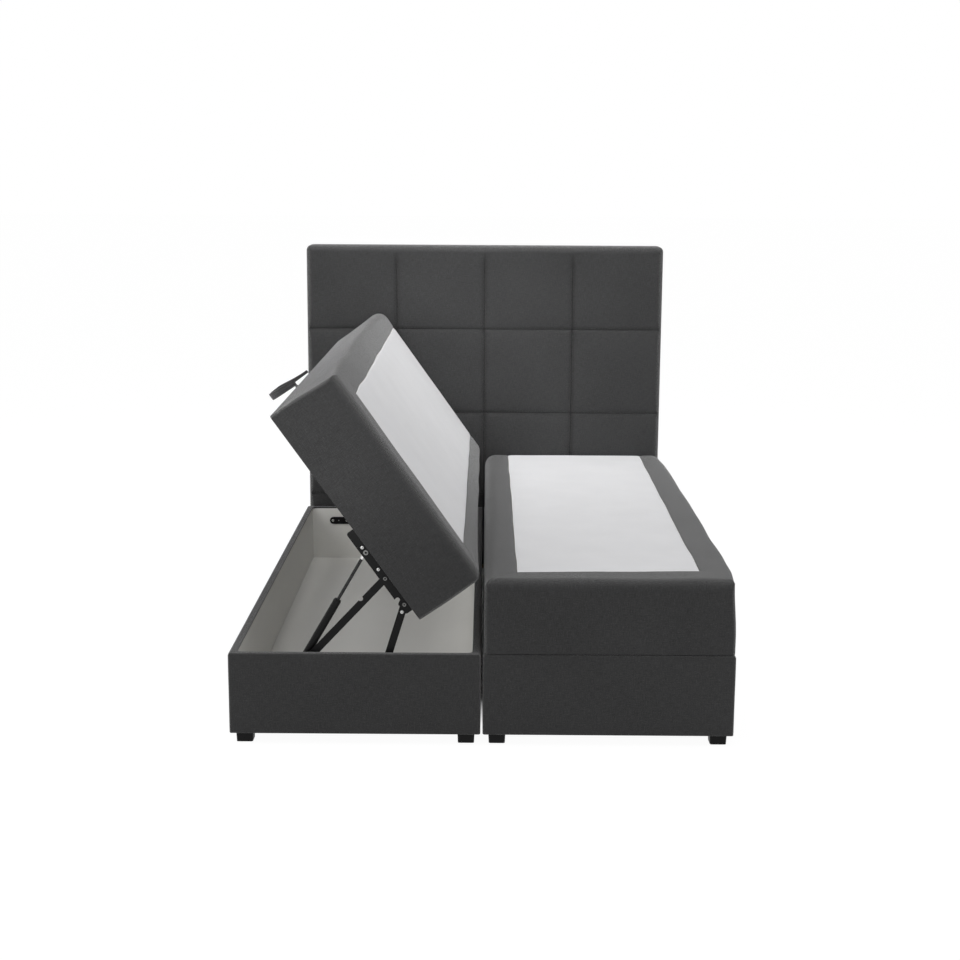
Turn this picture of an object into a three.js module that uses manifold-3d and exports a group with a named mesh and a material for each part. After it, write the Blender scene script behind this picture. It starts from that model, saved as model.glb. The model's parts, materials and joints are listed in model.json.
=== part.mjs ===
// A storage box spring bed for two: two upholstered boxes side by side on black block feet, each with a
// sprung lid that lifts outer edge first on a four-bar fitting with gas springs, and a quilted headboard.
// Millimetres, +Z up, +Y towards the headboard, origin on the floor under the middle of the bed.
// The left lid stands open and the right one is shut.

import * as THREE from 'three';
import { mergeVertices } from 'three/addons/utils/BufferGeometryUtils.js';
import Module from 'manifold-3d';

const wasm = await Module();
wasm.setup();

// Sizes of the whole bed
const bedWidth = 1400;
const boxLength = 2000;
const middleGap = 6;
const seat = 0.3;
const overrun = 5;

// Boxes
const legHeight = 30;
const rimHeight = 260;
const boxCoverThick = 2;
const boxCornerRadius = 8;
const wallThick = 20;
const floorHeight = 54;
const floorThick = 10;
const bearerCount = 4;
const bearerWidth = 60;
const hemWidth = 45;
const legSide = 48;
const legCornerRadius = 6;
const legInset = 16;
const legTaperShare = 0.94;

// Lids
const lidGap = 3;
const lidThick = 210;
const lidSideInset = 4;
const lidFootInset = 2;
const lidHeadInset = 4;
const lidCoverThick = 3;
const lidSideRadius = 50;
const lidFootRadius = 32;
const lidHeadRadius = 10;
const lidCornerRadius = 14;
const panelSideBorder = 90;
const panelFootBorder = 105;
const panelHeadTurn = 30;
const padThick = 65;
const lidFrameThick = 22;
const lidFrameWidth = 70;
const slatCount = 8;
const slatWidth = 60;
const pocketColumns = 5;
const pocketRows = 12;
const pocketHeight = 12;
const pocketGap = 12;

// Headboard
const headboardHeight = 1290;
const headboardDepth = 90;
const headboardSideInset = 7;
const headboardClearance = 20;
const headboardRadius = 25;
const headboardSideCover = 6;
const headboardFoam = 35;
const quiltTopRow = 323;
const quiltRow = 329;
const quiltColumnShare = 0.4935;
const quiltCrown = 9;
const backClothThick = 1;
const backClothInset = 12;
const postWidth = 90;
const boardThick = 12;

// Lift fitting: its pivots lie out from a box's inner side by shares of the box's width
const openTilt = THREE.MathUtils.degToRad(54.4);
const shortOpenElevation = THREE.MathUtils.degToRad(72.8);
const shortBaseShare = 0.399;
const shortTopShare = 0.089;
const longTopShare = 0.218;
const gasTopShare = 0.347;
const shortBaseDrop = 82;
const longBaseDrop = 54;
const plateThick = 3;
const linkWidth = 21;
const linkClearance = 0.7;
const pinRadius = 4;
const pinClearance = 0.4;
const pinHeadRadius = 8;
const pinHeadThick = 2;
const screwRadius = 5;
const screwHeadThick = 1.8;
const smallScrewRadius = 2.2;
const linkStandOff = 6.3;

// Bracket on each end wall
const bracketHeight = 28;
const bracketWallSpace = 68;
const bracketInnerRun = 48;
const bracketScrewPlaces = [12, 67];
const bracketSmallScrewPlace = 35;
const bracketInnerScrewPlaces = [14, 130];
const lugRadius = 16;

// Rail under each end of a lid
const railInnerRun = 25;
const railOuterRun = 73;
const railBelowRivets = 13.5;
const railThick = 2.5;
const railStandOff = 2.3;
const railFlangeWidth = 24;
const railCornerRadius = 7;
const longTopScrewRun = 32;
const gasTopScrewRun = 17;

// Long link's notch, the screw in the short link, and the room that the rail leaves for it
const linkNotchRadius = 7.5;
const linkScrewPlace = 23;
const linkScrewRoom = 1.5;

// Gas springs
const tubeRadius = 11;
const tubeBore = 5;
const tubeStart = 16;
const tubeFloor = 12;
const collarRadius = 9;
const collarLength = 6;
const rodRadius = 4;
const rodShown = 42;
const rodRoom = 5;
const eyeRadius = 9;
const eyeThick = 9;
const neckLength = 20;

// Pull strap on the outer lower edge of each lid
const strapFootPlace = 653;
const strapSpan = 320;
const strapDrop = 118;
const strapWidth = 23;
const strapThick = 2;
const strapTab = 45;
const strapReachUnder = 30;
const strapOffset = 0.5;

// Counts of facets
const arcSteps = 4;
const edgeSteps = 6;
const roundSteps = 12;
const strapSteps = 14;
const quiltSteps = 6;

// Places worked out from the sizes
const bedLength = boxLength + seat + headboardDepth;
const footFace = -bedLength / 2;
const headFace = footFace + boxLength;
const headboardFront = headFace + seat;
const headboardBack = headboardFront + headboardDepth;
const boxInner = middleGap / 2;
const boxOuter = bedWidth / 2;
const wallOutset = boxCoverThick + seat;
const lining = wallOutset + wallThick;
const lidUnder = rimHeight + lidGap;
const lidTop = lidUnder + lidThick;
const lidInner = boxInner + lidSideInset;
const lidOuter = boxOuter - lidSideInset;
const lidFoot = footFace + lidFootInset;
const lidHead = headFace - lidHeadInset;
const rivetDrop = seat + railThick + linkWidth / 2 + linkClearance;
const gasStandOff = linkStandOff + plateThick + pinHeadThick + linkClearance + tubeRadius;
const headboardWidth = bedWidth - 2 * headboardSideInset;
const quiltColumn = (quiltColumnShare * headboardWidth) / 2;

// Finishes
const finish = (color, roughness, metalness = 0) =>
  new THREE.MeshStandardMaterial({ color, roughness, metalness });
const finishes = {
  upholstery: finish(0x3d3d3f, 0.95),
  strap: finish(0x1d1d1f, 0.9),
  panel: finish(0xd6d6d8, 0.95),
  lining: finish(0xb9b9b4, 0.7),
  timber: finish(0xc8ab80, 0.8),
  foam: finish(0xe4dfc8, 0.95),
  springs: finish(0xdedede, 0.9),
  backCloth: finish(0x222224, 0.95),
  leg: finish(0x121212, 0.5),
  steel: finish(0x191919, 0.45, 0.6),
  rod: finish(0x2b2b2d, 0.3, 0.8),
};

// Joining and cutting of closed shapes
function toSolid(geometry) {
  const bare = geometry.clone();
  bare.deleteAttribute('normal');
  bare.deleteAttribute('uv');
  const merged = mergeVertices(bare);
  const index = Uint32Array.from(merged.index.array);
  const places = Float32Array.from(merged.attributes.position.array);
  return new wasm.Manifold(new wasm.Mesh({ numProp: 3, vertProperties: places, triVerts: index }));
}

function toGeometry(solid) {
  const mesh = solid.getMesh();
  const geometry = new THREE.BufferGeometry();
  geometry.setAttribute('position', new THREE.BufferAttribute(Float32Array.from(mesh.vertProperties), 3));
  geometry.setIndex(new THREE.BufferAttribute(Uint32Array.from(mesh.triVerts), 1));
  geometry.computeVertexNormals();
  return geometry;
}

const joined = (...pieces) =>
  toGeometry(pieces.map(toSolid).reduce((whole, piece) => whole.add(piece)));
const cut = (body, ...tools) =>
  toGeometry(tools.map(toSolid).reduce((rest, tool) => rest.subtract(tool), toSolid(body)));
const common = (first, second) => toGeometry(toSolid(first).intersect(toSolid(second)));

// Basic shapes, given by their limits along X (out from the bed's middle), Y and Z
function block([x0, x1], [y0, y1], [z0, z1]) {
  const box = new THREE.BoxGeometry(x1 - x0, y1 - y0, z1 - z0);
  return box.translate((x0 + x1) / 2, (y0 + y1) / 2, (z0 + z1) / 2);
}

function roundedOutline([a0, a1], [b0, b1], radii) {
  const [lowLeft, lowRight, highRight, highLeft] = radii;
  const outline = new THREE.Shape();
  outline.moveTo(a0 + lowLeft, b0);
  outline.lineTo(a1 - lowRight, b0);
  if (lowRight) outline.absarc(a1 - lowRight, b0 + lowRight, lowRight, -Math.PI / 2, 0);
  outline.lineTo(a1, b1 - highRight);
  if (highRight) outline.absarc(a1 - highRight, b1 - highRight, highRight, 0, Math.PI / 2);
  outline.lineTo(a0 + highLeft, b1);
  if (highLeft) outline.absarc(a0 + highLeft, b1 - highLeft, highLeft, Math.PI / 2, Math.PI);
  outline.lineTo(a0, b0 + lowLeft);
  if (lowLeft) outline.absarc(a0 + lowLeft, b0 + lowLeft, lowLeft, Math.PI, 1.5 * Math.PI);
  return outline;
}

function extruded(outline, depth, curveSegments = arcSteps) {
  return new THREE.ExtrudeGeometry(outline, { depth, bevelEnabled: false, curveSegments, steps: 1 });
}

// An (x, z) outline run along Y
function alongY(outline, [y0, y1], curveSegments) {
  return extruded(outline, y1 - y0, curveSegments).rotateX(Math.PI / 2).translate(0, y1, 0);
}

// A (y, z) outline run along X
function alongX(outline, [x0, x1], curveSegments) {
  const turn = new THREE.Matrix4().set(0, 0, 1, 0, 1, 0, 0, 0, 0, 1, 0, 0, 0, 0, 0, 1);
  return extruded(outline, x1 - x0, curveSegments).applyMatrix4(turn).translate(x0, 0, 0);
}

// An (x, y) outline run along Z
function alongZ(outline, [z0, z1], curveSegments) {
  return extruded(outline, z1 - z0, curveSegments).translate(0, 0, z0);
}

function discAlongY(radius, [y0, y1], x, z) {
  return new THREE.CylinderGeometry(radius, radius, y1 - y0, roundSteps).translate(x, (y0 + y1) / 2, z);
}

// The other side's copy of a geometry, with its faces still pointing out
function mirrored(geometry) {
  const copy = geometry.index ? geometry.clone() : mergeVertices(geometry);
  copy.scale(-1, 1, 1);
  const corners = copy.index.array;
  for (let i = 0; i < corners.length; i += 3) {
    [corners[i], corners[i + 1]] = [corners[i + 1], corners[i]];
  }
  copy.computeVertexNormals();
  return copy;
}

// Linkage: a pivot is { x, z }, x out from the bed's middle, and a positive turn goes inwards over the top
const turned = (point, turn) => ({
  x: point.x * Math.cos(turn) + point.z * Math.sin(turn),
  z: point.z * Math.cos(turn) - point.x * Math.sin(turn),
});
const plus = (a, b) => ({ x: a.x + b.x, z: a.z + b.z });
const minus = (a, b) => ({ x: a.x - b.x, z: a.z - b.z });
const reach = (a, b) => Math.hypot(a.x - b.x, a.z - b.z);
const elevation = (base, top) => Math.atan2(top.z - base.z, base.x - top.x);

const outBy = (share) => boxInner + share * (boxOuter - boxInner);
const shortBase = { x: outBy(shortBaseShare), z: rimHeight - shortBaseDrop };
const shortTop = { x: outBy(shortTopShare), z: lidUnder - rivetDrop };
const longTop = { x: outBy(longTopShare), z: lidUnder - rivetDrop };
const gasTop = { x: outBy(gasTopShare), z: lidUnder - rivetDrop };
const shortLength = reach(shortBase, shortTop);
const shortShutElevation = elevation(shortBase, shortTop);
const shortTopOpen = plus(shortBase, {
  x: -shortLength * Math.cos(shortOpenElevation),
  z: shortLength * Math.sin(shortOpenElevation),
});
const opened = (point) => plus(shortTopOpen, turned(minus(point, shortTop), -openTilt));

// The long link's base pivot is on the bracket's centre line, equally far from its top pivot open and shut
function equallyFar(first, second, height) {
  const middle = { x: (first.x + second.x) / 2, z: (first.z + second.z) / 2 };
  const run = minus(second, first);
  return { x: middle.x - ((height - middle.z) * run.z) / run.x, z: height };
}
const longBase = equallyFar(longTop, opened(longTop), rimHeight - longBaseDrop);
const longLength = reach(longBase, longTop);
const longShutElevation = elevation(longBase, longTop);
const longTurn = elevation(longBase, opened(longTop)) - longShutElevation;
const gasShutLength = reach(longBase, gasTop);
const gasShutElevation = elevation(longBase, gasTop);
const gasTurn = elevation(longBase, opened(gasTop)) - gasShutElevation;
const tubeReach = gasShutLength - rodShown;
const rodLength = gasShutLength - tubeStart - tubeFloor - rodRoom;
const shortTurn = shortOpenElevation - shortShutElevation;

// Ends of a box: the lining's face there and the way in from it
const ends = [
  { name: 'foot_end', face: footFace + lining, inwards: 1 },
  { name: 'head_end', face: headFace - lining, inwards: -1 },
];
const depths = (end, near, far) =>
  [end.face + end.inwards * near, end.face + end.inwards * far].sort((a, b) => a - b);
const pin = (end, radius, near, far, place = { x: 0, z: 0 }) =>
  discAlongY(radius, depths(end, near, far), place.x, place.z);

// Box
const boxAcross = [boxInner, boxOuter];
const boxAlong = [footFace, headFace];
const inset = ([low, high], amount) => [low + amount, high - amount];
const sameRadii = (radius) => [radius, radius, radius, radius];

function boxCover() {
  const ring = (innerInset, [z0, z1]) => {
    const outline = roundedOutline(boxAcross, boxAlong, sameRadii(boxCornerRadius));
    const hole = roundedOutline(inset(boxAcross, innerInset), inset(boxAlong, innerInset), sameRadii(0));
    return cut(alongZ(outline, [z0, z1]), alongZ(hole, [z0 - overrun, z1 + overrun]));
  };
  return joined(
    ring(boxCoverThick, [legHeight, rimHeight]),
    ring(hemWidth, [legHeight, legHeight + boxCoverThick]),
    ring(lining, [rimHeight - boxCoverThick, rimHeight]),
  );
}

const wallTall = [legHeight + wallOutset, rimHeight - wallOutset];

function sideWall(innerSide) {
  const across = innerSide
    ? [boxInner + wallOutset, boxInner + lining]
    : [boxOuter - lining, boxOuter - wallOutset];
  return block(across, inset(boxAlong, wallOutset), wallTall);
}

function endWall(end) {
  return block(inset(boxAcross, lining + seat), depths(end, -wallThick, 0), wallTall);
}

function storageFloor() {
  const across = inset(boxAcross, lining + seat);
  const along = inset(boxAlong, lining + seat);
  const panel = block(across, along, [floorHeight - floorThick, floorHeight]);
  const pitch = (along[1] - along[0]) / bearerCount;
  const bearers = Array.from({ length: bearerCount }, (_, i) => {
    const middle = along[0] + (i + 0.5) * pitch;
    const wide = [middle - bearerWidth / 2, middle + bearerWidth / 2];
    return block(across, wide, [legHeight + wallOutset, floorHeight - floorThick]);
  });
  return joined(panel, ...bearers);
}

function leg(x, y) {
  const half = legSide / 2;
  const outline = roundedOutline([-half, half], [-half, half], sameRadii(legCornerRadius));
  const shape = alongZ(outline, [0, legHeight - seat], arcSteps - 1);
  const places = shape.attributes.position;
  for (let i = 0; i < places.count; i += 1) {
    if (places.getZ(i) === 0) places.setXY(i, places.getX(i) * legTaperShare, places.getY(i) * legTaperShare);
  }
  return shape.translate(x, y, 0);
}

// Lid body: its end view, side view and plan, drawn in by the same amount, meet in one rounded block
const lidAcross = [lidInner, lidOuter];
const lidAlong = [lidFoot, lidHead];

function lidBody(drawnIn, [z0, z1]) {
  const across = inset(lidAcross, drawnIn);
  const along = inset(lidAlong, drawnIn);
  const top = lidTop - drawnIn;
  const sideSoft = lidSideRadius - drawnIn;
  const footSoft = lidFootRadius - drawnIn;
  const headSoft = lidHeadRadius - drawnIn;
  const low = lidUnder - overrun;
  const endView = roundedOutline(across, [low, top], [0, 0, sideSoft, sideSoft]);
  const sideView = roundedOutline(along, [low, top], [0, 0, headSoft, footSoft]);
  const plan = roundedOutline(across, along, sameRadii(lidCornerRadius - drawnIn));
  const rounded = common(
    alongY(endView, inset(along, -overrun), edgeSteps),
    alongX(sideView, inset(across, -overrun), edgeSteps),
  );
  return common(rounded, alongZ(plan, [z0, z1]));
}

const lidTall = [lidUnder, lidTop + overrun];

function lidSkin() {
  return cut(lidBody(0, lidTall), lidBody(lidCoverThick, [lidUnder - overrun, lidTop + overrun]));
}

function panelWindow(margin) {
  const across = inset(lidAcross, panelSideBorder + margin);
  const along = [lidFoot + panelFootBorder + margin, lidHead + overrun];
  return block(across, along, [lidTop - panelHeadTurn + margin, lidTop + overrun]);
}

const lidCover = () => cut(lidSkin(), panelWindow(0));
const lidPanel = () => common(lidSkin(), panelWindow(seat));

const fillInset = lidCoverThick + seat;
const frameTop = lidUnder + lidFrameThick;
const padUnder = lidTop - fillInset - padThick;

const lidPad = () => lidBody(fillInset, [padUnder, lidTop]);

function springCore() {
  const slabTop = padUnder - seat - pocketHeight;
  const slab = lidBody(fillInset, [frameTop + seat, slabTop]);
  const across = inset(lidAcross, fillInset + lidCornerRadius);
  const along = inset(lidAlong, fillInset + lidCornerRadius);
  const wide = (across[1] - across[0] + pocketGap) / pocketColumns;
  const long = (along[1] - along[0] + pocketGap) / pocketRows;
  const pockets = [];
  for (let column = 0; column < pocketColumns; column += 1) {
    for (let row = 0; row < pocketRows; row += 1) {
      const x = across[0] + column * wide;
      const y = along[0] + row * long;
      const tall = [slabTop - overrun, padUnder - seat];
      pockets.push(block([x, x + wide - pocketGap], [y, y + long - pocketGap], tall));
    }
  }
  return joined(slab, ...pockets);
}

function lidFrame() {
  const tall = [lidUnder, frameTop];
  const across = inset(lidAcross, fillInset);
  const along = inset(lidAlong, fillInset);
  const inner = inset(along, lidFrameWidth);
  const rim = cut(
    alongZ(roundedOutline(across, along, sameRadii(lidCornerRadius - fillInset)), tall),
    block(inset(across, lidFrameWidth), inner, [tall[0] - overrun, tall[1] + overrun]),
  );
  const pitch = (inner[1] - inner[0] - slatWidth * slatCount) / (slatCount + 1) + slatWidth;
  const slats = Array.from({ length: slatCount }, (_, i) => {
    const y = inner[0] + (i + 1) * pitch - slatWidth;
    return block(inset(across, lidFrameWidth / 2), [y, y + slatWidth], tall);
  });
  return joined(rim, ...slats);
}

// Pull strap: flat tabs under the lid's edge, and between them a loop that hangs outside the box
function pullStrap() {
  const middle = lidFoot + strapFootPlace + strapSpan / 2;
  const half = strapSpan / 2;
  const top = lidUnder - seat;
  const sag = (share, drop, reachHalf) => [middle + share * reachHalf, top - drop * (1 - share * share)];
  const outline = new THREE.Shape();
  outline.moveTo(middle - half - strapTab, top - strapThick);
  outline.lineTo(middle - half, top - strapThick);
  for (let i = 1; i < strapSteps; i += 1) {
    outline.lineTo(...sag((2 * i) / strapSteps - 1, strapDrop, half));
  }
  outline.lineTo(middle + half, top - strapThick);
  outline.lineTo(middle + half + strapTab, top - strapThick);
  outline.lineTo(middle + half + strapTab, top);
  outline.lineTo(middle + half - strapThick, top);
  for (let i = strapSteps - 1; i > 0; i -= 1) {
    outline.lineTo(...sag((2 * i) / strapSteps - 1, strapDrop - strapThick, half - strapThick));
  }
  outline.lineTo(middle - half + strapThick, top);
  outline.lineTo(middle - half - strapTab, top);
  const loopAcross = [boxOuter + strapOffset, boxOuter + strapOffset + strapWidth];
  const loop = alongX(outline, loopAcross);
  const tabAcross = [boxOuter - strapReachUnder, loopAcross[1]];
  const tab = (y) => block(tabAcross, [y, y + strapTab], [top - strapThick, top]);
  return joined(loop, tab(middle - half - strapTab), tab(middle + half));
}

// A flat round-ended bar lying along X from its first pivot
function linkBar(end, length) {
  const [y0, y1] = depths(end, linkStandOff, linkStandOff + plateThick);
  const half = linkWidth / 2;
  const strip = block([0, length], [y0, y1], [-half, half]);
  return joined(strip, discAlongY(half, [y0, y1], 0, 0), discAlongY(half, [y0, y1], length, 0));
}

const linkFar = linkStandOff + plateThick;
const throughLink = (end, radius, place) =>
  pin(end, radius, linkStandOff - overrun, linkFar + overrun, place);
const pinHole = (end, x) => throughLink(end, pinRadius + pinClearance, { x, z: 0 });

function shortLink(end) {
  const holed = cut(linkBar(end, shortLength), pinHole(end, 0), pinHole(end, shortLength));
  const place = { x: linkScrewPlace, z: 0 };
  return joined(holed, pin(end, screwRadius, linkStandOff - screwHeadThick, linkStandOff, place))
    .rotateY(shortShutElevation).translate(shortTop.x, 0, shortTop.z);
}

function longLink(end) {
  const gasPin = turned(minus(gasTop, longTop), -longShutElevation);
  const notch = throughLink(end, linkNotchRadius, gasPin);
  const holed = cut(linkBar(end, longLength), pinHole(end, 0), notch);
  const head = pin(end, pinHeadRadius, linkFar, linkFar + pinHeadThick, { x: longLength, z: 0 });
  return joined(holed, head).rotateY(longShutElevation).translate(longTop.x, 0, longTop.z);
}

// Bracket: a bar with a lug for the short link, its screws, a boss at the long link and the short link's pin
function bracket(end) {
  const near = seat;
  const far = seat + plateThick;
  const outerEnd = boxOuter - lining - bracketWallSpace;
  const innerEnd = shortBase.x - bracketInnerRun;
  const half = bracketHeight / 2;
  const bar = alongY(
    roundedOutline([innerEnd, outerEnd], [longBase.z - half, longBase.z + half], sameRadii(half)),
    depths(end, near, far),
  );
  const lugAcross = [shortBase.x - lugRadius, shortBase.x + lugRadius];
  const lug = joined(
    block(lugAcross, depths(end, near, far), [shortBase.z, longBase.z]),
    pin(end, lugRadius, near, far, shortBase),
  );
  const screws = [
    ...bracketScrewPlaces.map((place) => outerEnd - place),
    ...bracketInnerScrewPlaces.map((place) => innerEnd + place),
  ].map((x) => pin(end, screwRadius, far, far + screwHeadThick, { x, z: longBase.z }));
  const smallScrew = pin(end, smallScrewRadius, far, far + screwHeadThick, {
    x: outerEnd - bracketSmallScrewPlace,
    z: longBase.z,
  });
  const boss = (place) => pin(end, pinHeadRadius, far, linkStandOff - seat, place);
  const shank = pin(end, pinRadius, far, linkFar + seat, shortBase);
  const head = pin(end, pinHeadRadius, linkFar + seat, linkFar + seat + pinHeadThick, shortBase);
  return joined(bar, lug, ...screws, smallScrew, boss(shortBase), boss(longBase), shank, head);
}

// The room for the short link's screw, which swings round the short link's top rivet as seen from the lid
function screwSweep(end, near, far) {
  const half = screwRadius + linkScrewRoom;
  const outline = new THREE.Shape();
  const from = -shortShutElevation;
  const to = from - shortTurn - openTilt;
  outline.absarc(0, 0, linkScrewPlace + half, from, to, true);
  outline.absarc(0, 0, linkScrewPlace - half, to, from, false);
  const swept = alongY(outline, depths(end, near, far), edgeSteps).translate(shortTop.x, 0, shortTop.z);
  const screwAt = (angle) =>
    plus(shortTop, { x: linkScrewPlace * Math.cos(angle), z: linkScrewPlace * Math.sin(angle) });
  return [swept, pin(end, half, near, far, screwAt(from)), pin(end, half, near, far, screwAt(to))];
}

// Rail: an angle under the lid whose web carries the top rivets
function lidRail(end) {
  const top = lidUnder - seat;
  const webFar = railStandOff + railThick;
  const corners = [railCornerRadius, railCornerRadius, 0, 0];
  const across = [shortTop.x - railInnerRun, gasTop.x + railOuterRun];
  const outline = roundedOutline(across, [longTop.z - railBelowRivets, top], corners);
  const web = alongY(outline, depths(end, railStandOff, webFar));
  const flange = block(
    across,
    depths(end, railStandOff, railStandOff + railFlangeWidth),
    [top - railThick, top],
  );
  const rivet = (place, far) => [
    pin(end, pinRadius, webFar, far, place),
    pin(end, pinHeadRadius, far, far + pinHeadThick, place),
    pin(end, pinHeadRadius - pinHeadThick, railStandOff - screwHeadThick, railStandOff, place),
  ];
  const screws = [longTop.x + longTopScrewRun, gasTop.x + gasTopScrewRun].map((x) =>
    pin(end, screwRadius, railStandOff - screwHeadThick, railStandOff, { x, z: longTop.z }));
  return joined(
    joined(cut(web, ...screwSweep(end, railStandOff - overrun, webFar + overrun)), flange),
    ...rivet(shortTop, linkFar + seat),
    ...rivet(longTop, linkFar + seat),
    ...rivet(gasTop, gasStandOff + eyeThick / 2 + seat),
    ...screws,
  );
}

// A turned shape lying along X, its axis in the gas springs' plane, from [along, radius] pairs
function turnedPiece(end, profile) {
  const points = profile.map(([along, radius]) => new THREE.Vector2(radius, along));
  const shape = new THREE.LatheGeometry(points, roundSteps);
  return shape.rotateZ(-Math.PI / 2).translate(0, end.face + end.inwards * gasStandOff, 0);
}

const eyeNear = gasStandOff - eyeThick / 2;
const eyeFar = gasStandOff + eyeThick / 2;

function gasRod(end) {
  const neck = eyeRadius - pinHeadThick;
  const rod = turnedPiece(end, [
    [neck, 0], [neck, eyeThick / 2], [neck + neckLength, eyeThick / 2],
    [neck + neckLength, rodRadius], [rodLength, rodRadius], [rodLength, 0],
  ]);
  const hole = pin(end, pinRadius + pinClearance, eyeNear - overrun, eyeFar + overrun);
  return cut(joined(pin(end, eyeRadius, eyeNear, eyeFar), rod), hole)
    .rotateY(gasShutElevation).translate(gasTop.x, 0, gasTop.z);
}

function gasTube(end) {
  const from = (place) => gasShutLength - place;
  const neck = eyeRadius - pinHeadThick;
  const tube = turnedPiece(end, [
    [from(tubeReach), 0], [from(tubeReach), collarRadius],
    [from(tubeReach - collarLength), tubeRadius], [from(tubeStart), tubeRadius],
    [from(neck), eyeThick / 2], [from(neck), 0],
  ]);
  const bore = turnedPiece(end, [
    [from(tubeReach) - overrun, 0], [from(tubeReach) - overrun, tubeBore],
    [from(tubeStart + tubeFloor), tubeBore], [from(tubeStart + tubeFloor), 0],
  ]);
  const place = { x: gasShutLength, z: 0 };
  const eye = pin(end, eyeRadius, eyeNear, eyeFar, place);
  const stub = pin(end, pinRadius, linkFar + pinHeadThick + seat, eyeNear, place);
  const head = pin(end, pinHeadRadius, eyeFar, eyeFar + pinHeadThick, place);
  return joined(cut(tube, bore), eye, stub, head).rotateY(gasShutElevation).translate(gasTop.x, 0, gasTop.z);
}

// Headboard
const headboardAcross = [-headboardWidth / 2, headboardWidth / 2];
const headboardTall = [headboardClearance, headboardHeight];
const pillow = (share) => 1 - Math.abs(2 * share - 1) ** 3;

// Heights of the quilting's level seams, from the top edge to the bottom one
function quiltSeams() {
  const seams = [headboardHeight];
  for (let z = headboardHeight - quiltTopRow; z > headboardClearance; z -= quiltRow) seams.push(z);
  return [...seams, headboardClearance];
}

// How far a point of the quilted front lies behind the crowns
function quiltDip(x, z) {
  const half = headboardWidth / 2;
  const column = Math.abs(x) < quiltColumn
    ? Math.abs(x) / quiltColumn
    : (Math.abs(x) - quiltColumn) / (half - quiltColumn);
  const level = quiltSeams().findIndex((seam) => seam <= z);
  const [high, low] = quiltSeams().slice(level - 1, level + 1);
  const row = level > 0 ? (high - z) / (high - low) : 0;
  return quiltCrown * (1 - pillow(column) * pillow(row));
}

function headboardCover() {
  const half = headboardWidth / 2;
  const steps = (low, high) =>
    Array.from({ length: quiltSteps }, (_, i) => low + ((high - low) * i) / quiltSteps);
  const columns = [
    ...steps(-half, -quiltColumn), ...steps(-quiltColumn, 0), ...steps(0, quiltColumn),
    ...steps(quiltColumn, half), half,
  ];
  const seams = quiltSeams();
  const rows = seams.slice(1).flatMap((seam, i) => steps(seams[i], seam));
  rows.push(headboardClearance);
  const deep = [headboardFront, headboardBack];
  const round = headboardRadius;
  const outer = roundedOutline(headboardAcross, headboardTall, [0, 0, round, round]);
  const plan = roundedOutline(headboardAcross, deep, [round, round, 0, 0]);
  const sideView = roundedOutline(deep, headboardTall, [0, 0, 0, round]);
  const shell = common(
    common(
      alongY(outer, [headboardFront, headboardBack - backClothThick - seat]),
      alongZ(plan, inset(headboardTall, -overrun)),
    ),
    alongX(sideView, inset(headboardAcross, -overrun)),
  );
  const hollow = block(
    inset(headboardAcross, headboardSideCover),
    [headboardFront + headboardFoam, headboardBack + overrun],
    [headboardClearance - overrun, headboardHeight - headboardSideCover],
  );
  return common(cut(shell, hollow), quiltedBlock(columns, rows));
}

// A closed block whose front is the quilted surface, from grid lines across and down
function quiltedBlock(columns, rows) {
  const places = [];
  const corners = [];
  const wide = columns.length;
  const last = rows.length - 1;
  const stretch = (value, low, high) => {
    if (value === low) return value - overrun;
    return value === high ? value + overrun : value;
  };
  const grid = (depthAt) => rows.forEach((z) => columns.forEach((x) => {
    places.push(
      stretch(x, columns[0], columns[wide - 1]),
      depthAt(x, z),
      stretch(z, rows[last], rows[0]),
    );
  }));
  grid((x, z) => headboardFront + quiltDip(x, z));
  grid(() => headboardBack + overrun);
  const at = (layer, row, column) => layer * wide * rows.length + row * wide + column;
  const quad = (a, b, c, d) => corners.push(a, b, c, a, c, d);
  for (let row = 0; row < last; row += 1) {
    for (let column = 0; column < wide - 1; column += 1) {
      quad(at(0, row, column), at(0, row + 1, column), at(0, row + 1, column + 1), at(0, row, column + 1));
      quad(at(1, row, column), at(1, row, column + 1), at(1, row + 1, column + 1), at(1, row + 1, column));
    }
  }
  for (let column = 0; column < wide - 1; column += 1) {
    quad(at(0, 0, column), at(0, 0, column + 1), at(1, 0, column + 1), at(1, 0, column));
    quad(at(0, last, column), at(1, last, column), at(1, last, column + 1), at(0, last, column + 1));
  }
  for (let row = 0; row < last; row += 1) {
    quad(at(0, row, 0), at(1, row, 0), at(1, row + 1, 0), at(0, row + 1, 0));
    quad(at(0, row, wide - 1), at(0, row + 1, wide - 1), at(1, row + 1, wide - 1), at(1, row, wide - 1));
  }
  const geometry = new THREE.BufferGeometry();
  geometry.setAttribute('position', new THREE.Float32BufferAttribute(places, 3));
  geometry.setIndex(corners);
  return geometry;
}

// Frame: a board behind the foam, stiffened by posts that reach the floor and by cross rails
function headboardFrame() {
  const front = headboardFront + headboardFoam + seat;
  const back = headboardBack - backClothThick - seat;
  const across = inset(headboardAcross, headboardSideCover + seat);
  const top = headboardHeight - headboardSideCover - seat;
  const board = block(across, [front, front + boardThick], [headboardClearance, top]);
  const post = (x0, x1) => block([x0, x1], [front, back], [0, top]);
  const railLevels = [headboardClearance, top - postWidth, (headboardClearance + top - postWidth) / 2];
  const rails = railLevels.map((z) => block(across, [front, back], [z, z + postWidth]));
  return joined(
    board,
    post(across[0], across[0] + postWidth),
    post(across[1] - postWidth, across[1]),
    post(-postWidth / 2, postWidth / 2),
    ...rails,
  );
}

function headboardBackCloth() {
  return block(
    inset(headboardAcross, backClothInset),
    [headboardBack - backClothThick, headboardBack],
    [headboardClearance, headboardHeight - backClothInset],
  );
}

// Assembly
const bed = new THREE.Group();

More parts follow.
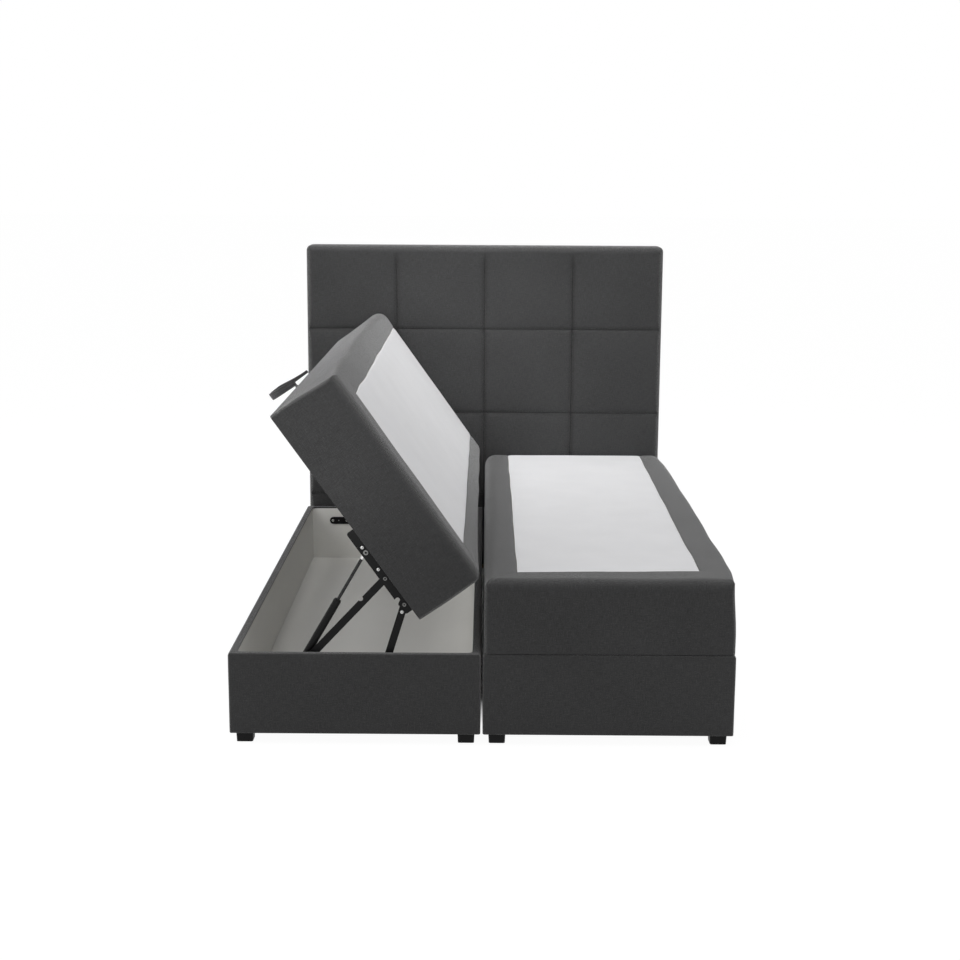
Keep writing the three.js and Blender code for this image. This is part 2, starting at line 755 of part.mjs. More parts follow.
function piece(name, geometry, material) {
  const mesh = new THREE.Mesh(geometry, material);
  mesh.name = name;
  return mesh;
}

// A group turned about a pivot: what was modelled round its shut place swings to where it stands now
function swung(side, shut, now, turn, meshes) {
  const group = new THREE.Group();
  group.position.set(side.sign * now.x, 0, now.z);
  group.rotation.y = side.sign * turn;
  meshes.forEach((mesh) => {
    mesh.position.set(-side.sign * shut.x, 0, -shut.z);
    group.add(mesh);
  });
  return group;
}

function addSide(side) {
  const make = (name, geometry, material) =>
    piece(`${side.name}_${name}`, side.sign < 0 ? mirrored(geometry) : geometry, material);
  const each = (name, build, material) =>
    ends.map((end) => make(`${end.name}_${name}`, build(end), material));

  const box = new THREE.Group();
  box.add(
    make('box_cover', boxCover(), finishes.upholstery),
    make('outer_wall', sideWall(false), finishes.lining),
    make('inner_wall', sideWall(true), finishes.lining),
    ...each('wall', endWall, finishes.lining),
    make('storage_floor', storageFloor(), finishes.lining),
    ...each('bracket', bracket, finishes.steel),
  );
  const legMiddle = legInset + legSide / 2;
  ends.forEach((end) => {
    const y = end.face + end.inwards * (legMiddle - lining);
    box.add(
      make(`${end.name}_outer_leg`, leg(boxOuter - legMiddle, y), finishes.leg),
      make(`${end.name}_inner_leg`, leg(boxInner + legMiddle, y), finishes.leg),
    );
  });

  const now = (shut) => (side.open ? opened(shut) : shut);
  const share = side.open ? 1 : 0;
  const lid = swung(side, shortTop, now(shortTop), -share * openTilt, [
    make('lid_frame', lidFrame(), finishes.timber),
    make('spring_core', springCore(), finishes.springs),
    make('lid_pad', lidPad(), finishes.foam),
    make('lid_cover', lidCover(), finishes.upholstery),
    make('lid_panel', lidPanel(), finishes.panel),
    make('pull_strap', pullStrap(), finishes.strap),
    ...each('lid_rail', lidRail, finishes.steel),
  ]);
  bed.add(
    box,
    lid,
    swung(side, shortBase, shortBase, share * shortTurn, each('short_link', shortLink, finishes.steel)),
    swung(side, longBase, longBase, share * longTurn, each('long_link', longLink, finishes.steel)),
    swung(side, gasTop, now(gasTop), share * gasTurn, each('gas_rod', gasRod, finishes.rod)),
    swung(side, longBase, longBase, share * gasTurn, each('gas_tube', gasTube, finishes.steel)),
  );
}

addSide({ name: 'left', sign: -1, open: true });
addSide({ name: 'right', sign: 1, open: false });

bed.add(
  piece('headboard_cover', headboardCover(), finishes.upholstery),
  piece('headboard_frame', headboardFrame(), finishes.timber),
  piece('headboard_back_cloth', headboardBackCloth(), finishes.backCloth),
);

export default bed;
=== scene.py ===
import json
import math

import bmesh
import bpy
from mathutils import Matrix, Vector, noise


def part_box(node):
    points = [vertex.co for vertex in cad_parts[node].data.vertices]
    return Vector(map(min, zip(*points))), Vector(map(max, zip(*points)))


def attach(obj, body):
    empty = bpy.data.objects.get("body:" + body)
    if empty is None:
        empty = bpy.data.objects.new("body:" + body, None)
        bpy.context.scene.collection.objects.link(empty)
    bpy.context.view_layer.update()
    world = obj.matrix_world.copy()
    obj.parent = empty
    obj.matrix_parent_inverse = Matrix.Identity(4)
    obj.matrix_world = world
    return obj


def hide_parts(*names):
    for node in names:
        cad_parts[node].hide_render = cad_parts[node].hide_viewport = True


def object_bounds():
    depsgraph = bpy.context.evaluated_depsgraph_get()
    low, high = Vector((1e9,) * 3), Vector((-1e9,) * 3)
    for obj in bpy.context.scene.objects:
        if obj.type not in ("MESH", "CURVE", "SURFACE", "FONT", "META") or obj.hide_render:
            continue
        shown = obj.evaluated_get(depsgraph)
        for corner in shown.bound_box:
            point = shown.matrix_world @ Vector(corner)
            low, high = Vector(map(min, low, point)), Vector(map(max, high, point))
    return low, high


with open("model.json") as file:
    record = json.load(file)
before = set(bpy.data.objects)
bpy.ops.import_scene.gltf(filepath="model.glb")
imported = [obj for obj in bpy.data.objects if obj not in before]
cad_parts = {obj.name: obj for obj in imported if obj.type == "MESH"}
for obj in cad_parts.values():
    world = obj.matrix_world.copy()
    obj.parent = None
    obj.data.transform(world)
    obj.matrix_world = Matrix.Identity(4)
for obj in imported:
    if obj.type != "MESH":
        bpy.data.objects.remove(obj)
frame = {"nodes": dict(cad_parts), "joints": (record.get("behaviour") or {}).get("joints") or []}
cad_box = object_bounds()

# Camera: it stands past the foot of the bed, a little above the lids. Its place and turn were fitted
# to the corners of the boxes, lids, legs and headboard.
camera_place = Vector((0.0044, -5.2376, 1.5494))
camera_right = Vector((0.99997623, 0.00399208, 0.00562102))
camera_up = Vector((-0.00626927, 0.18729142, 0.98228439))
camera_data = bpy.data.cameras.new("camera")
camera_data.lens = 59.5
camera_data.sensor_width = 36
camera = bpy.data.objects.new("camera", camera_data)
turn = Matrix((camera_right, camera_up, camera_right.cross(camera_up))).transposed()
camera.matrix_world = Matrix.Translation(camera_place) @ turn.to_4x4()
bpy.context.scene.collection.objects.link(camera)
bpy.context.scene.camera = camera
bpy.context.scene.view_settings.view_transform = "Standard"


# Studio: a white floor that runs out of sight under a white world. Camera, mirror and glass rays see
# full white, and the floor keeps a faint shadow. Three large soft lamps light the bed, and three weak
# ones lift the open lid's foot end, the headboard's top and its front.
class Wire:
    """An output of a material's nodes. Sums and products of wires and numbers add Math nodes."""

    def __init__(self, finish, socket):
        self.finish = finish
        self.socket = socket

    def __add__(self, other):
        return self.finish.maths("ADD", self, other)

    def __sub__(self, other):
        return self.finish.maths("SUBTRACT", self, other)

    def __rsub__(self, other):
        return self.finish.maths("SUBTRACT", other, self)

    def __mul__(self, other):
        return self.finish.maths("MULTIPLY", self, other)

    def __truediv__(self, other):
        return self.finish.maths("DIVIDE", self, other)

    def __pow__(self, other):
        return self.finish.maths("POWER", self, other)

    __radd__ = __add__
    __rmul__ = __mul__


class Finish:
    """The nodes of one material, or of the world."""

    def __init__(self, name, world=False):
        self.owner = (bpy.data.worlds if world else bpy.data.materials).new(name)
        self.owner.use_nodes = True
        self.tree = self.owner.node_tree
        self.tree.nodes.clear()

    def node(self, kind, sockets, settings=None, output=0):
        made = self.tree.nodes.new("ShaderNode" + kind)
        for name, value in (settings or {}).items():
            if name == "stops":
                for i, (place, level) in enumerate(value):
                    stop = made.color_ramp.elements[i] if i < 2 else made.color_ramp.elements.new(place)
                    stop.position = place
                    stop.color = (level, level, level, 1)
            else:
                setattr(made, name, value)
        for key, value in sockets.items():
            if isinstance(value, Wire):
                self.tree.links.new(value.socket, made.inputs[key])
            else:
                made.inputs[key].default_value = value
        return Wire(self, made.outputs[output])

    def maths(self, operation, *values, **settings):
        return self.node("Math", dict(enumerate(values)), {"operation": operation, **settings})

    def mix(self, factor, first, second):
        colours = {0: factor, 6: first, 7: second}
        return self.node("Mix", colours, {"data_type": "RGBA"}, output=2)

    def noise(self, vector, scale, detail=2.0, roughness=0.5):
        sockets = {"Vector": vector, "Scale": scale, "Detail": detail, "Roughness": roughness}
        return self.node("TexNoise", sockets)

    def scaled(self, vector, scales):
        return self.node("VectorMath", {0: vector, 1: scales}, {"operation": "MULTIPLY"})

    def limited(self, value, low, high):
        """A value taken from low..high to 0..1, and cut off there."""
        return self.node("MapRange", {0: value, 1: low, 2: high})

    def place(self):
        return self.node("TexCoord", {}, output=3)

    def cloth_place(self):
        return self.node("UVMap", {}, {"uv_map": "cloth"})

    def split(self, vector):
        return [self.node("SeparateXYZ", {0: vector}, output=i) for i in (0, 1)]

    def mark(self, name):
        """A number that a mesh gives to each of its points."""
        return self.node("Attribute", {}, {"attribute_name": name}, output=2)

    def surface(self, colour, height=None, relief=0.001, **sockets):
        named = {key.replace("_", " "): value for key, value in sockets.items()}
        if height is not None:
            bump = {"Height": height, "Distance": relief, "Strength": 1.0}
            named["Normal"] = self.node("Bump", bump)
        shader = self.node("BsdfPrincipled", {"Base Color": colour, **named})
        self.node_out(shader)
        return self.owner

    def node_out(self, shader, kind="OutputMaterial"):
        made = self.tree.nodes.new("ShaderNode" + kind)
        self.tree.links.new(shader.socket, made.inputs["Surface"])


def grey(level):
    return (level, level, level, 1)


def seen_rays(finish):
    rays = [finish.node("LightPath", {}, output=name) for name in
            ("Is Camera Ray", "Is Glossy Ray", "Is Transmission Ray")]
    return finish.maths("MINIMUM", rays[0] + rays[1] + rays[2], 1.0)


studio_world = Finish("studio_world", world=True)
dim = studio_world.node("Background", {"Color": grey(1), "Strength": 0.45})
white = studio_world.node("Background", {"Color": grey(1), "Strength": 1.0})
sky = studio_world.node("MixShader", {0: seen_rays(studio_world), 1: dim, 2: white})
studio_world.node_out(sky, "OutputWorld")
bpy.context.scene.world = studio_world.owner

floor_finish = Finish("studio_floor")
matt = floor_finish.node("BsdfDiffuse", {"Color": grey(0.92)})
glow = floor_finish.node("Emission", {"Color": grey(1), "Strength": 1.06})
across, along = floor_finish.split(floor_finish.place())
half_width = 0.7
head_fade = 9
shade_start, shade_full = 0.16, 0.40
most_glow = 0.90
from_side = half_width - floor_finish.maths("ABSOLUTE", across)
from_ends = floor_finish.maths("MINIMUM", along - cad_box[0].y, (cad_box[1].y - along) * head_fade)
inwards = floor_finish.maths("MINIMUM", from_side, from_ends)
under_bed = floor_finish.limited(inwards, shade_start, shade_full)
floor_share = seen_rays(floor_finish) * most_glow * (1 - under_bed)
floor_finish.node_out(floor_finish.node("MixShader", {0: floor_share, 1: matt, 2: glow}))

floor_reach = 60
floor_shape = bmesh.new()
bmesh.ops.create_grid(floor_shape, x_segments=1, y_segments=1, size=floor_reach)
floor_mesh = bpy.data.meshes.new("studio_floor")
floor_shape.to_mesh(floor_mesh)
floor_mesh.materials.append(floor_finish.owner)
studio_floor = bpy.data.objects.new("studio_floor", floor_mesh)
bpy.context.scene.collection.objects.link(studio_floor)


def lamp(name, place, aim, size, power, spread=180):
    data = bpy.data.lights.new(name, "AREA")
    data.shape = "SQUARE"
    data.size = size
    data.energy = power
    data.spread = math.radians(spread)
    made = bpy.data.objects.new(name, data)
    facing = (Vector(aim) - Vector(place)).to_track_quat("-Z", "Y")
    made.matrix_world = Matrix.Translation(place) @ facing.to_matrix().to_4x4()
    bpy.context.scene.collection.objects.link(made)


lamp("lamp_overhead", (0, -0.2, 4.2), (0, 0, 0.3), 3.0, 52)
lamp("lamp_left", (-3.2, -1.4, 3.4), (-0.3, -0.2, 0.4), 2.0, 42)
lamp("lamp_right", (3.4, -2.7, 3.2), (-0.2, -0.2, 0.3), 2.2, 27)
lamp("lamp_front", (-0.9, -4.4, 1.0), (-0.44, -1.0, 0.88), 0.5, 0.6, 16)
lamp("lamp_top", (0, 0.3, 3.4), (0, 1.0, 1.25), 1.0, 2.6, 50)
lamp("lamp_headboard", (0, -1.5, 3.2), (0, 0.98, 0.95), 1.2, 4.0, 60)


# Upholstery cloth: a dense dark grey melange weave, its threads partly lighter, with a soft nap that
# catches the light at a flat angle. The same cloth covers boxes, lids and headboard.
def cloth_finish(name, dark, light):
    finish = Finish(name)
    pitch = 0.0017
    place = finish.cloth_place()
    u, v = finish.split(place)
    waves = 2 * math.pi / pitch
    crossing = finish.maths("SINE", u * waves) * finish.maths("SINE", v * waves)
    warp = finish.noise(finish.scaled(place, (1 / pitch, 45, 1)), 1.0, 1.0)
    weft = finish.noise(finish.scaled(place, (45, 1 / pitch, 1)), 1.0, 1.0)
    fleck = finish.limited(finish.noise(place, 300, 1.0), 0.52, 0.72)
    cloud = finish.noise(place, 5, 3.0)
    threads = finish.limited(warp + weft, 0.72, 1.30)
    level = 0.14 + 0.34 * threads + 0.30 * fleck + 0.10 * crossing + 0.26 * (cloud - 0.5)
    colour = finish.mix(finish.maths("MAXIMUM", level, 0.0), dark, light)
    # Painted shade: where a mesh marks its points, the cloth's colour is darkened towards near black, as
    # shade in the headboard's sewn channels.
    crease_shade = finish.mark("crease_shade")
    colour = finish.mix(crease_shade, colour, grey(0.006))
    height = crossing * 0.5 + threads * 0.5 + fleck * 0.4
    return finish.surface(colour, height, 0.00035, Roughness=0.92, Sheen_Weight=0.5,
                          Sheen_Roughness=0.48, Specular_IOR_Level=0.15)


upholstery = cloth_finish("upholstery_cloth", (0.0235, 0.0235, 0.0238, 1), (0.073, 0.073, 0.074, 1))


# Box covers: each box's boards are wrapped in cloth, pulled over the rim, lapped a finger's width down
# inside, and turned under the bottom edge, where staples hold it.
right_joints = {j["name"][6:]: j for j in frame["joints"] if j["name"].startswith("right")}
left_joints = {j["name"][5:]: j for j in frame["joints"] if j["name"].startswith("left")}
mirror = Matrix.Diagonal((-1, 1, 1, 1))
lift_turn = -left_joints["lid_lift"]["range_deg"][0]
lid_turn = -left_joints["lid_tilt"]["range_deg"][0] - lift_turn


def opened(joint, degrees):
    """From a right piece's shut place to the left one's open place, turned about a joint."""
    shut = mirror @ Vector(right_joints[joint]["pos_m"])
    now = Vector(left_joints[joint]["pos_m"])
    swing = Matrix.Rotation(math.radians(degrees), 4, "Y")
    return Matrix.Translation(now) @ swing @ Matrix.Translation(-shut) @ mirror


left_place = {
    "base": mirror,
    "lid": opened("lid_tilt", lid_turn),
    "short_links": opened("lid_lift", -lift_turn),
}


# Points closer than this are welded, and a face counts as facing an axis above this share of its normal.
weld = 1e-6
mostly = 0.9


def new_block(low, high):
    shape = bmesh.new()
    size = Vector(high) - Vector(low)
    place = Matrix.Translation((Vector(low) + Vector(high)) / 2) @ Matrix.Diagonal((*size, 1))
    bmesh.ops.create_cube(shape, size=1, matrix=place)
    return shape


def cut_across(shape, axis, places):
    """Cuts a shape with planes square to an axis."""
    square = Vector([1.0 if i == axis else 0.0 for i in range(3)])
    for place in places:
        parts = shape.verts[:] + shape.edges[:] + shape.faces[:]
        bmesh.ops.bisect_plane(shape, geom=parts, plane_co=square * place, plane_no=square, dist=weld)


def even(low, high, most):
    """Places strictly between two limits, spaced evenly and no further apart than most."""
    count = max(1, math.ceil((high - low) / most))
    return [low + (high - low) * i / count for i in range(1, count)]


def drop_faces(shape, unwanted):
    faces = [face for face in shape.faces if unwanted(face.calc_center_median(), face.normal)]
    bmesh.ops.delete(shape, geom=faces, context="FACES")


def round_off(co, axes, low, high, radius):
    """Takes a point of a block's skin onto the round between the sides of two axes."""
    first, second = axes
    ways = [
        max(co[i] - high[i] + radius, 0) + min(co[i] - low[i] - radius, 0) for i in (first, second)
    ]
    reach = math.hypot(*ways)
    if ways[0] and ways[1] and reach > radius:
        co[first] += ways[0] * (radius / reach - 1)
        co[second] += ways[1] * (radius / reach - 1)


def round_places(edge, inwards, radius, steps):
    """Where a block is cut beside an edge, so that its round gets even facets."""
    turns = [math.pi / 4 * i / steps for i in range(steps)]
    return [edge + inwards * radius * (1 - math.tan(turn)) for turn in turns]


def lay_cloth(shape):
    """Gives each face its place on the cloth in metres, from the side that it mostly faces."""
    layer = shape.loops.layers.uv.new("cloth")
    for face in shape.faces:
        most = max(range(3), key=lambda i: abs(face.normal[i]))
        across, along = [i for i in range(3) if i != most]
        for loop in face.loops:
            loop[layer].uv = (loop.vert.co[across], loop.vert.co[along])


def ripple(co, size, seed):
    return noise.noise(Vector(co) / size + Vector((seed, seed * 1.7, seed * 0.3)))


def add_piece(name, shape, material, body, replaced=(), sharp=None):
    mesh = bpy.data.meshes.new(name)
    shape.to_mesh(mesh)
    shape.free()
    mesh.materials.append(material)
    mesh.polygons.foreach_set("use_smooth", [True] * len(mesh.polygons))
    if sharp:
        mesh.set_sharp_from_angle(angle=math.radians(sharp))
    made = bpy.data.objects.new(name, mesh)
    bpy.context.scene.collection.objects.link(made)
    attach(made, body)
    if replaced:
        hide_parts(*replaced)
    return made


def thicken(piece, thickness, offset=-1, smooth=True):
    """Gives a sheet its thickness, all of it inwards or, with an offset of 0, half on each side."""
    solid = piece.modifiers.new("thickness", "SOLIDIFY")
    solid.thickness = thickness
    solid.offset = offset
    solid.use_quality_normals = offset < 0
    if smooth:
        smoothing = piece.modifiers.new("smoothing", "SUBSURF")
        smoothing.levels = smoothing.render_levels = 1


def pull_out(shape, loop):
    """Adds a strip of faces along a loop of edges. Returns its new outer loop and that loop's points."""
    made = bmesh.ops.extrude_edge_only(shape, edges=loop)["geom"]
    outer = [item for item in made if isinstance(item, bmesh.types.BMEdge) and item.is_boundary]
    return outer, {vertex for edge in outer for vertex in edge.verts}


def stamp(shape, pattern, places):
    """Adds a copy of a pattern to a shape for each place, given as a matrix."""
    mesh = bpy.data.meshes.new("pattern")
    pattern.to_mesh(mesh)
    for place in places:
        before = len(shape.verts)
        shape.from_mesh(mesh)
        shape.verts.ensure_lookup_table()
        bmesh.ops.transform(shape, matrix=place, verts=shape.verts[before:])
    bpy.data.meshes.remove(mesh)


def together(*shapes):
    whole = bmesh.new()
    for shape in shapes:
        stamp(whole, shape, [Matrix()])
        shape.free()
    return whole


def bell(distance, width):
    """A smooth hump: 1 at no distance, and almost nothing at twice the width."""
    return math.exp(-((distance / width) ** 2))


def on_both_sides(shape, place, build):
    """Builds a piece from a shape on the right side, and from its mirrored, moved copy on the left."""
    for side in ("right", "left"):
        copy = shape.copy()
        if side == "left":
            bmesh.ops.transform(copy, matrix=left_place[place], verts=copy.verts)
            bmesh.ops.reverse_faces(copy, faces=copy.faces)
        build(side, copy)
    shape.free()


def box_cover_shape():
    low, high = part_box("right_box_cover")
    edge, rim_edge, rim, hem = 0.0075, 0.0072, 0.0229, 0.045
    shape = new_block(low, high)
    for axis in (0, 1):
        places = [low[axis] + rim, high[axis] - rim, low[axis] + hem, high[axis] - hem]
        for side, way in ((low[axis], 1), (high[axis], -1)):
            places += round_places(side, way, edge, 2) + round_places(side, way, rim_edge, 2)
        places += even(low[axis] + hem, high[axis] - hem, 0.09)
        cut_across(shape, axis, places)
    lower_cut, upper_cut = low[2] + 0.012, high[2] - 0.016
    tall = [low[2] + 0.003, lower_cut, upper_cut] + round_places(high[2], -1, rim_edge, 3)
    cut_across(shape, 2, tall + even(lower_cut, upper_cut, 0.05))
    inside = lambda co, margin: all(low[i] + margin < co[i] < high[i] - margin for i in (0, 1))
    drop_faces(shape, lambda co, normal: normal.z > mostly and inside(co, rim))
    drop_faces(shape, lambda co, normal: normal.z < -mostly and inside(co, hem))
    for vertex in shape.verts:
        round_off(vertex.co, (0, 1), low, high, edge)
        deep = Vector((low.x, low.y, -1))
        round_off(vertex.co, (0, 2), deep, high, rim_edge)
        round_off(vertex.co, (1, 2), deep, high, rim_edge)
    rim_loop = [e for e in shape.edges if e.is_boundary and e.verts[0].co.z > high[2] - 0.001]
    for drop in (0.0012, 0.0045):
        rim_loop, lap = pull_out(shape, rim_loop)
        bmesh.ops.translate(shape, verts=list(lap), vec=(0, 0, -drop))
    shape.normal_update()
    for vertex in shape.verts:
        hang = max(0.0, min(1.0, (high[2] - vertex.co.z) / 0.05, (vertex.co.z - low[2]) / 0.03))
        outer = hang if abs(vertex.normal.z) < 0.5 and not inside(vertex.co, 0.015) else 0
        vertex.co += vertex.normal * 0.0012 * outer * (0.2 + ripple(vertex.co, 0.16, 3))
    lay_cloth(shape)
    return shape


def add_box_cover(side, shape):
    made = add_piece(f"{side}_box_upholstery", shape, upholstery, "base",
                     [f"{side}_box_cover"])
    thicken(made, 0.0018)


on_both_sides(box_cover_shape(), "base", add_box_cover)


# Box boards: four walls and a floor panel of chipboard with a pale warm grey coating, screwed together
# under the cloth. The floor lies on timber bearers.
def board_finish():
    finish = Finish("lining_board")
    place = finish.place()
    grain = finish.noise(finish.scaled(place, (60, 6, 60)), 4.0, 4.0)
    cloud = finish.noise(place, 3.0, 2.0)
    dust = finish.limited(finish.noise(place, 220, 1.0), 0.6, 0.75)
    level = 0.45 + 0.35 * (grain - 0.5) + 0.8 * (cloud - 0.5) + 0.1 * dust
    colour = finish.mix(level, (0.76, 0.752, 0.722, 1), (0.85, 0.842, 0.812, 1))
    return finish.surface(colour, grain + dust * 0.3, 0.0002, Roughness=0.6 + 0.1 * cloud)


lining = board_finish()


def refinish(names, material):
    """Gives CAD nodes that are shown as they are their finish."""
    for name in names:
        node = frame["nodes"][name]
        node.data.materials.clear()
        node.data.materials.append(material)


sides = ("left", "right")
box_ends = ("foot_end", "head_end")
boards = ["outer_wall", "inner_wall", "foot_end_wall", "head_end_wall", "storage_floor"]
refinish([f"{side}_{board}" for side in sides for board in boards], lining)


# Feet: black moulded blocks, slightly tapered, screwed under the corners of each box.
def plastic_finish():
    finish = Finish("foot_plastic")
    place = finish.place()
    grain = finish.noise(place, 900, 2.0)
    wear = finish.limited(finish.noise(place, 40, 3.0), 0.45, 0.75)
    colour = finish.mix(wear, (0.0045, 0.0045, 0.0046, 1), (0.010, 0.010, 0.0105, 1))
    return finish.surface(colour, grain, 0.0001, Roughness=0.42 + 0.2 * wear, Specular_IOR_Level=0.14)


foot_plastic = plastic_finish()
feet = [f"{side}_{end}_{place}_leg" for side in sides for end in box_ends for place in ("outer", "inner")]
refinish(feet, foot_plastic)


# Lids: sprung bases a mattress lies on. A padded cloth border is sewn round a pale felt panel that runs
# over the head edge, with mitred seams at the foot corners.
lid_low, lid_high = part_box("right_lid_cover")
side_edge = 0.045
outer_edges = (0.012, 0.024)
inner_edges = (0.026, 0.045)
foot_edge = 0.035
head_edge = 0.010
plan_corner = 0.014
side_border = 0.090
foot_border = 0.098
foot_border_skew = 0.028
head_turn = 0.030


def seam_places(place, widths=(0.003, 0.010)):
    return [place] + [place + way * width for width in widths for way in (-1, 1)]


def wander(co):
    """How far the hand-sewn seam between border and panel strays from a straight line."""
    return 0.0035 * ripple(co, 0.23, 11) + 0.0015 * ripple(co, 0.09, 5)


def ramp(value, low, high):
    """A smooth rise from 0 to 1 between two limits."""
    share = max(0.0, min(1.0, (value - low) / (high - low)))
    return share * share * (3 - 2 * share)


def side_radius(co):
    """The long edges are pulled tight at the foot corners and grow rounder behind them."""
    head_growth = 0.018
    if co.x > (lid_low.x + lid_high.x) / 2:
        tight, full = outer_edges
        grown = tight + (full - tight) * ramp(co.y, lid_low.y + 0.2, lid_high.y - 0.1)
        return grown + head_growth * ramp(co.y, lid_high.y - 0.25, lid_high.y)
    tight, full = inner_edges
    return tight + (full - tight) * ramp(co.y, lid_low.y + 0.02, lid_low.y + 0.40)


def mitre(shape, corner, seam):
    """Cuts the top of the border along the mitred seam from the lid's corner to the panel's."""
    run = Vector(seam) - Vector(corner)
    square = Vector((-run.y, run.x, 0)).normalized()
    for offset in (-0.010, -0.004, 0, 0.004, 0.010):
        faces = []
        for face in shape.faces:
            middle = face.calc_center_median()
            spans = all(min(corner[i], seam[i]) < middle[i] < max(corner[i], seam[i]) for i in (0, 1))
            if spans and face.normal.z > mostly:
                faces.append(face)
        parts = dict.fromkeys(part for face in faces for part in (*face.edges, *face.verts))
        through = Vector((*seam, 0)) + square * offset
        bmesh.ops.bisect_plane(shape, geom=faces + list(parts), plane_co=through, plane_no=square, dist=weld)


mitres = []
for edge, way, depth in ((lid_low.x, 1, 0.0013), (lid_high.x, -1, 0.0003)):
    panel_corner = (edge + way * side_border, lid_low.y + foot_border)
    mitres.append(((edge, lid_low.y), panel_corner, depth))


def lid_block():
    """The lid's block without its underside, cut where rounds, seams and hem are shaped later."""
    low, high = lid_low, lid_high
    beside = 0.03
    shape = new_block(low, high)
    across = [low.x + side_border + beside, high.x - side_border - beside]
    along = [low.y + foot_border + beside, high.y - beside]
    for side, way in ((low.x, 1), (high.x, -1)):
        across += round_places(side, way, side_edge, 5) + round_places(side, way, plan_corner, 3)[1:]
        across += round_places(side, way, outer_edges[1], 4)[1:]
        across += seam_places(side + way * side_border) + [side + way * 0.065]
    along += round_places(low.y, 1, foot_edge, 5) + round_places(low.y, 1, plan_corner, 3)[1:]
    along += round_places(high.y, -1, head_edge, 3) + [high.y - plan_corner, high.y - 0.008]
    along += seam_places(low.y + foot_border) + [low.y + 0.070]
    cut_across(shape, 0, across + even(low.x + side_border + beside, high.x - side_border - beside, 0.07))
    cut_across(shape, 1, along + even(low.y + foot_border + beside, high.y - beside, 0.06))
    tall = [low.z + rise for rise in (0.0015, 0.0035, 0.007, 0.012)]
    tall += seam_places(high.z - head_turn, [0.003])
    tall += round_places(high.z, -1, side_edge, 5) + round_places(high.z, -1, head_edge, 3)[1:]
    tall += round_places(high.z, -1, outer_edges[1], 4)[1:]
    tall += round_places(high.z, -1, foot_edge, 4)[1:]
    cut_across(shape, 2, tall + even(low.z + 0.012, high.z - side_edge, 0.04))
    drop_faces(shape, lambda co, normal: normal.z < -mostly)
    return shape


def mark_window(shape):
    """Marks the faces of the felt panel: the lid's middle, and a strip of its head end."""
    low, high = lid_low, lid_high
    window = shape.faces.layers.int.new("window")
    for face in shape.faces:
        co = face.calc_center_median()
        inside = low.x + side_border < co.x < high.x - side_border
        on_top = face.normal.z > mostly and co.y > low.y + foot_border
        on_head = face.normal.y > mostly and co.z > high.z - head_turn
        face[window] = int(inside and (on_top or on_head))


def turn_hem(shape):
    """Turns the cover's lower edge under the lid, in steps of a way inwards and a drop."""
    low, high = lid_low, lid_high
    hem = [edge for edge in shape.edges
           if edge.is_boundary and all(vertex.co.z < low.z + 1e-5 for vertex in edge.verts)]
    for inwards, drop in ((0, 0.0008), (0.002, 0.0002), (0.018, 0)):
        hem, points = pull_out(shape, hem)
        for vertex in points:
            for i in (0, 1):
                vertex.co[i] = max(low[i] + inwards, min(high[i] - inwards, vertex.co[i]))
            vertex.co.z -= drop


def mark_grooves(shape):
    """Notes how deep each point lies in the seams round the panel and in the border's mitres."""
    low, high = lid_low, lid_high
    seam_depth, seam_width, mitre_width = 0.0022, 0.005, 0.004
    past = 0.004
    grooves = shape.verts.layers.float.new("groove")
    for vertex in shape.verts:
        co = vertex.co
        seams = []
        if co.y > low.y + foot_border - past:
            seams += [abs(co.x - low.x - side_border), abs(co.x - high.x + side_border)]
        if low.x + side_border - past < co.x < high.x - side_border + past:
            seams.append(abs(co.y - low.y - foot_border))
        depths = [seam_depth * bell(min(seams, default=1), seam_width)]
        for corner, seam, depth in mitres:
            run = (Vector(seam) - Vector(corner)).normalized()
            offset = Vector(co.xy) - Vector(seam)
            if offset.dot(run) < 0 and co.y < low.y + foot_border:
                depths.append(depth * bell(offset.cross(run), mitre_width))
        vertex[grooves] = max(depths)


def stray_and_round(shape):
    """Moves the seams off their straight lines, as sewing does, and rounds the lid's edges."""
    low, high = lid_low, lid_high
    foot_stray, stray_growth = 0.002, 0.005
    open_below = Vector((low.x, low.y, low.z - 1))
    for vertex in shape.verts:
        co = vertex.co
        outwards = (co.x - low.x) / (high.x - low.x)
        seam = min(abs(co.x - low.x - side_border), abs(co.x - high.x + side_border))
        outer_stray = (foot_stray + stray_growth * ramp(co.y, low.y, high.y)) * (outwards > 0.5)
        strays = wander((0, co.y, co.z + co.x)) + outer_stray
        co.x += strays * bell(seam, 0.05) * (co.z > low.z + 0.03)
        foot_seam = abs(co.y - low.y - foot_border)
        co.y += foot_border_skew * outwards * bell(foot_seam, 0.055)
        co.y += 0.6 * wander((co.x, 0, 0)) * bell(foot_seam, 0.04)
        round_off(co, (0, 1), low, high, plan_corner)
        round_off(co, (0, 2), open_below, high, side_radius(co))
        round_off(co, (1, 2), open_below, Vector((high.x, high.y + 1, high.z)), foot_edge)
        round_off(co, (1, 2), Vector((low.x, low.y - 1, low.z - 1)), high, head_edge)


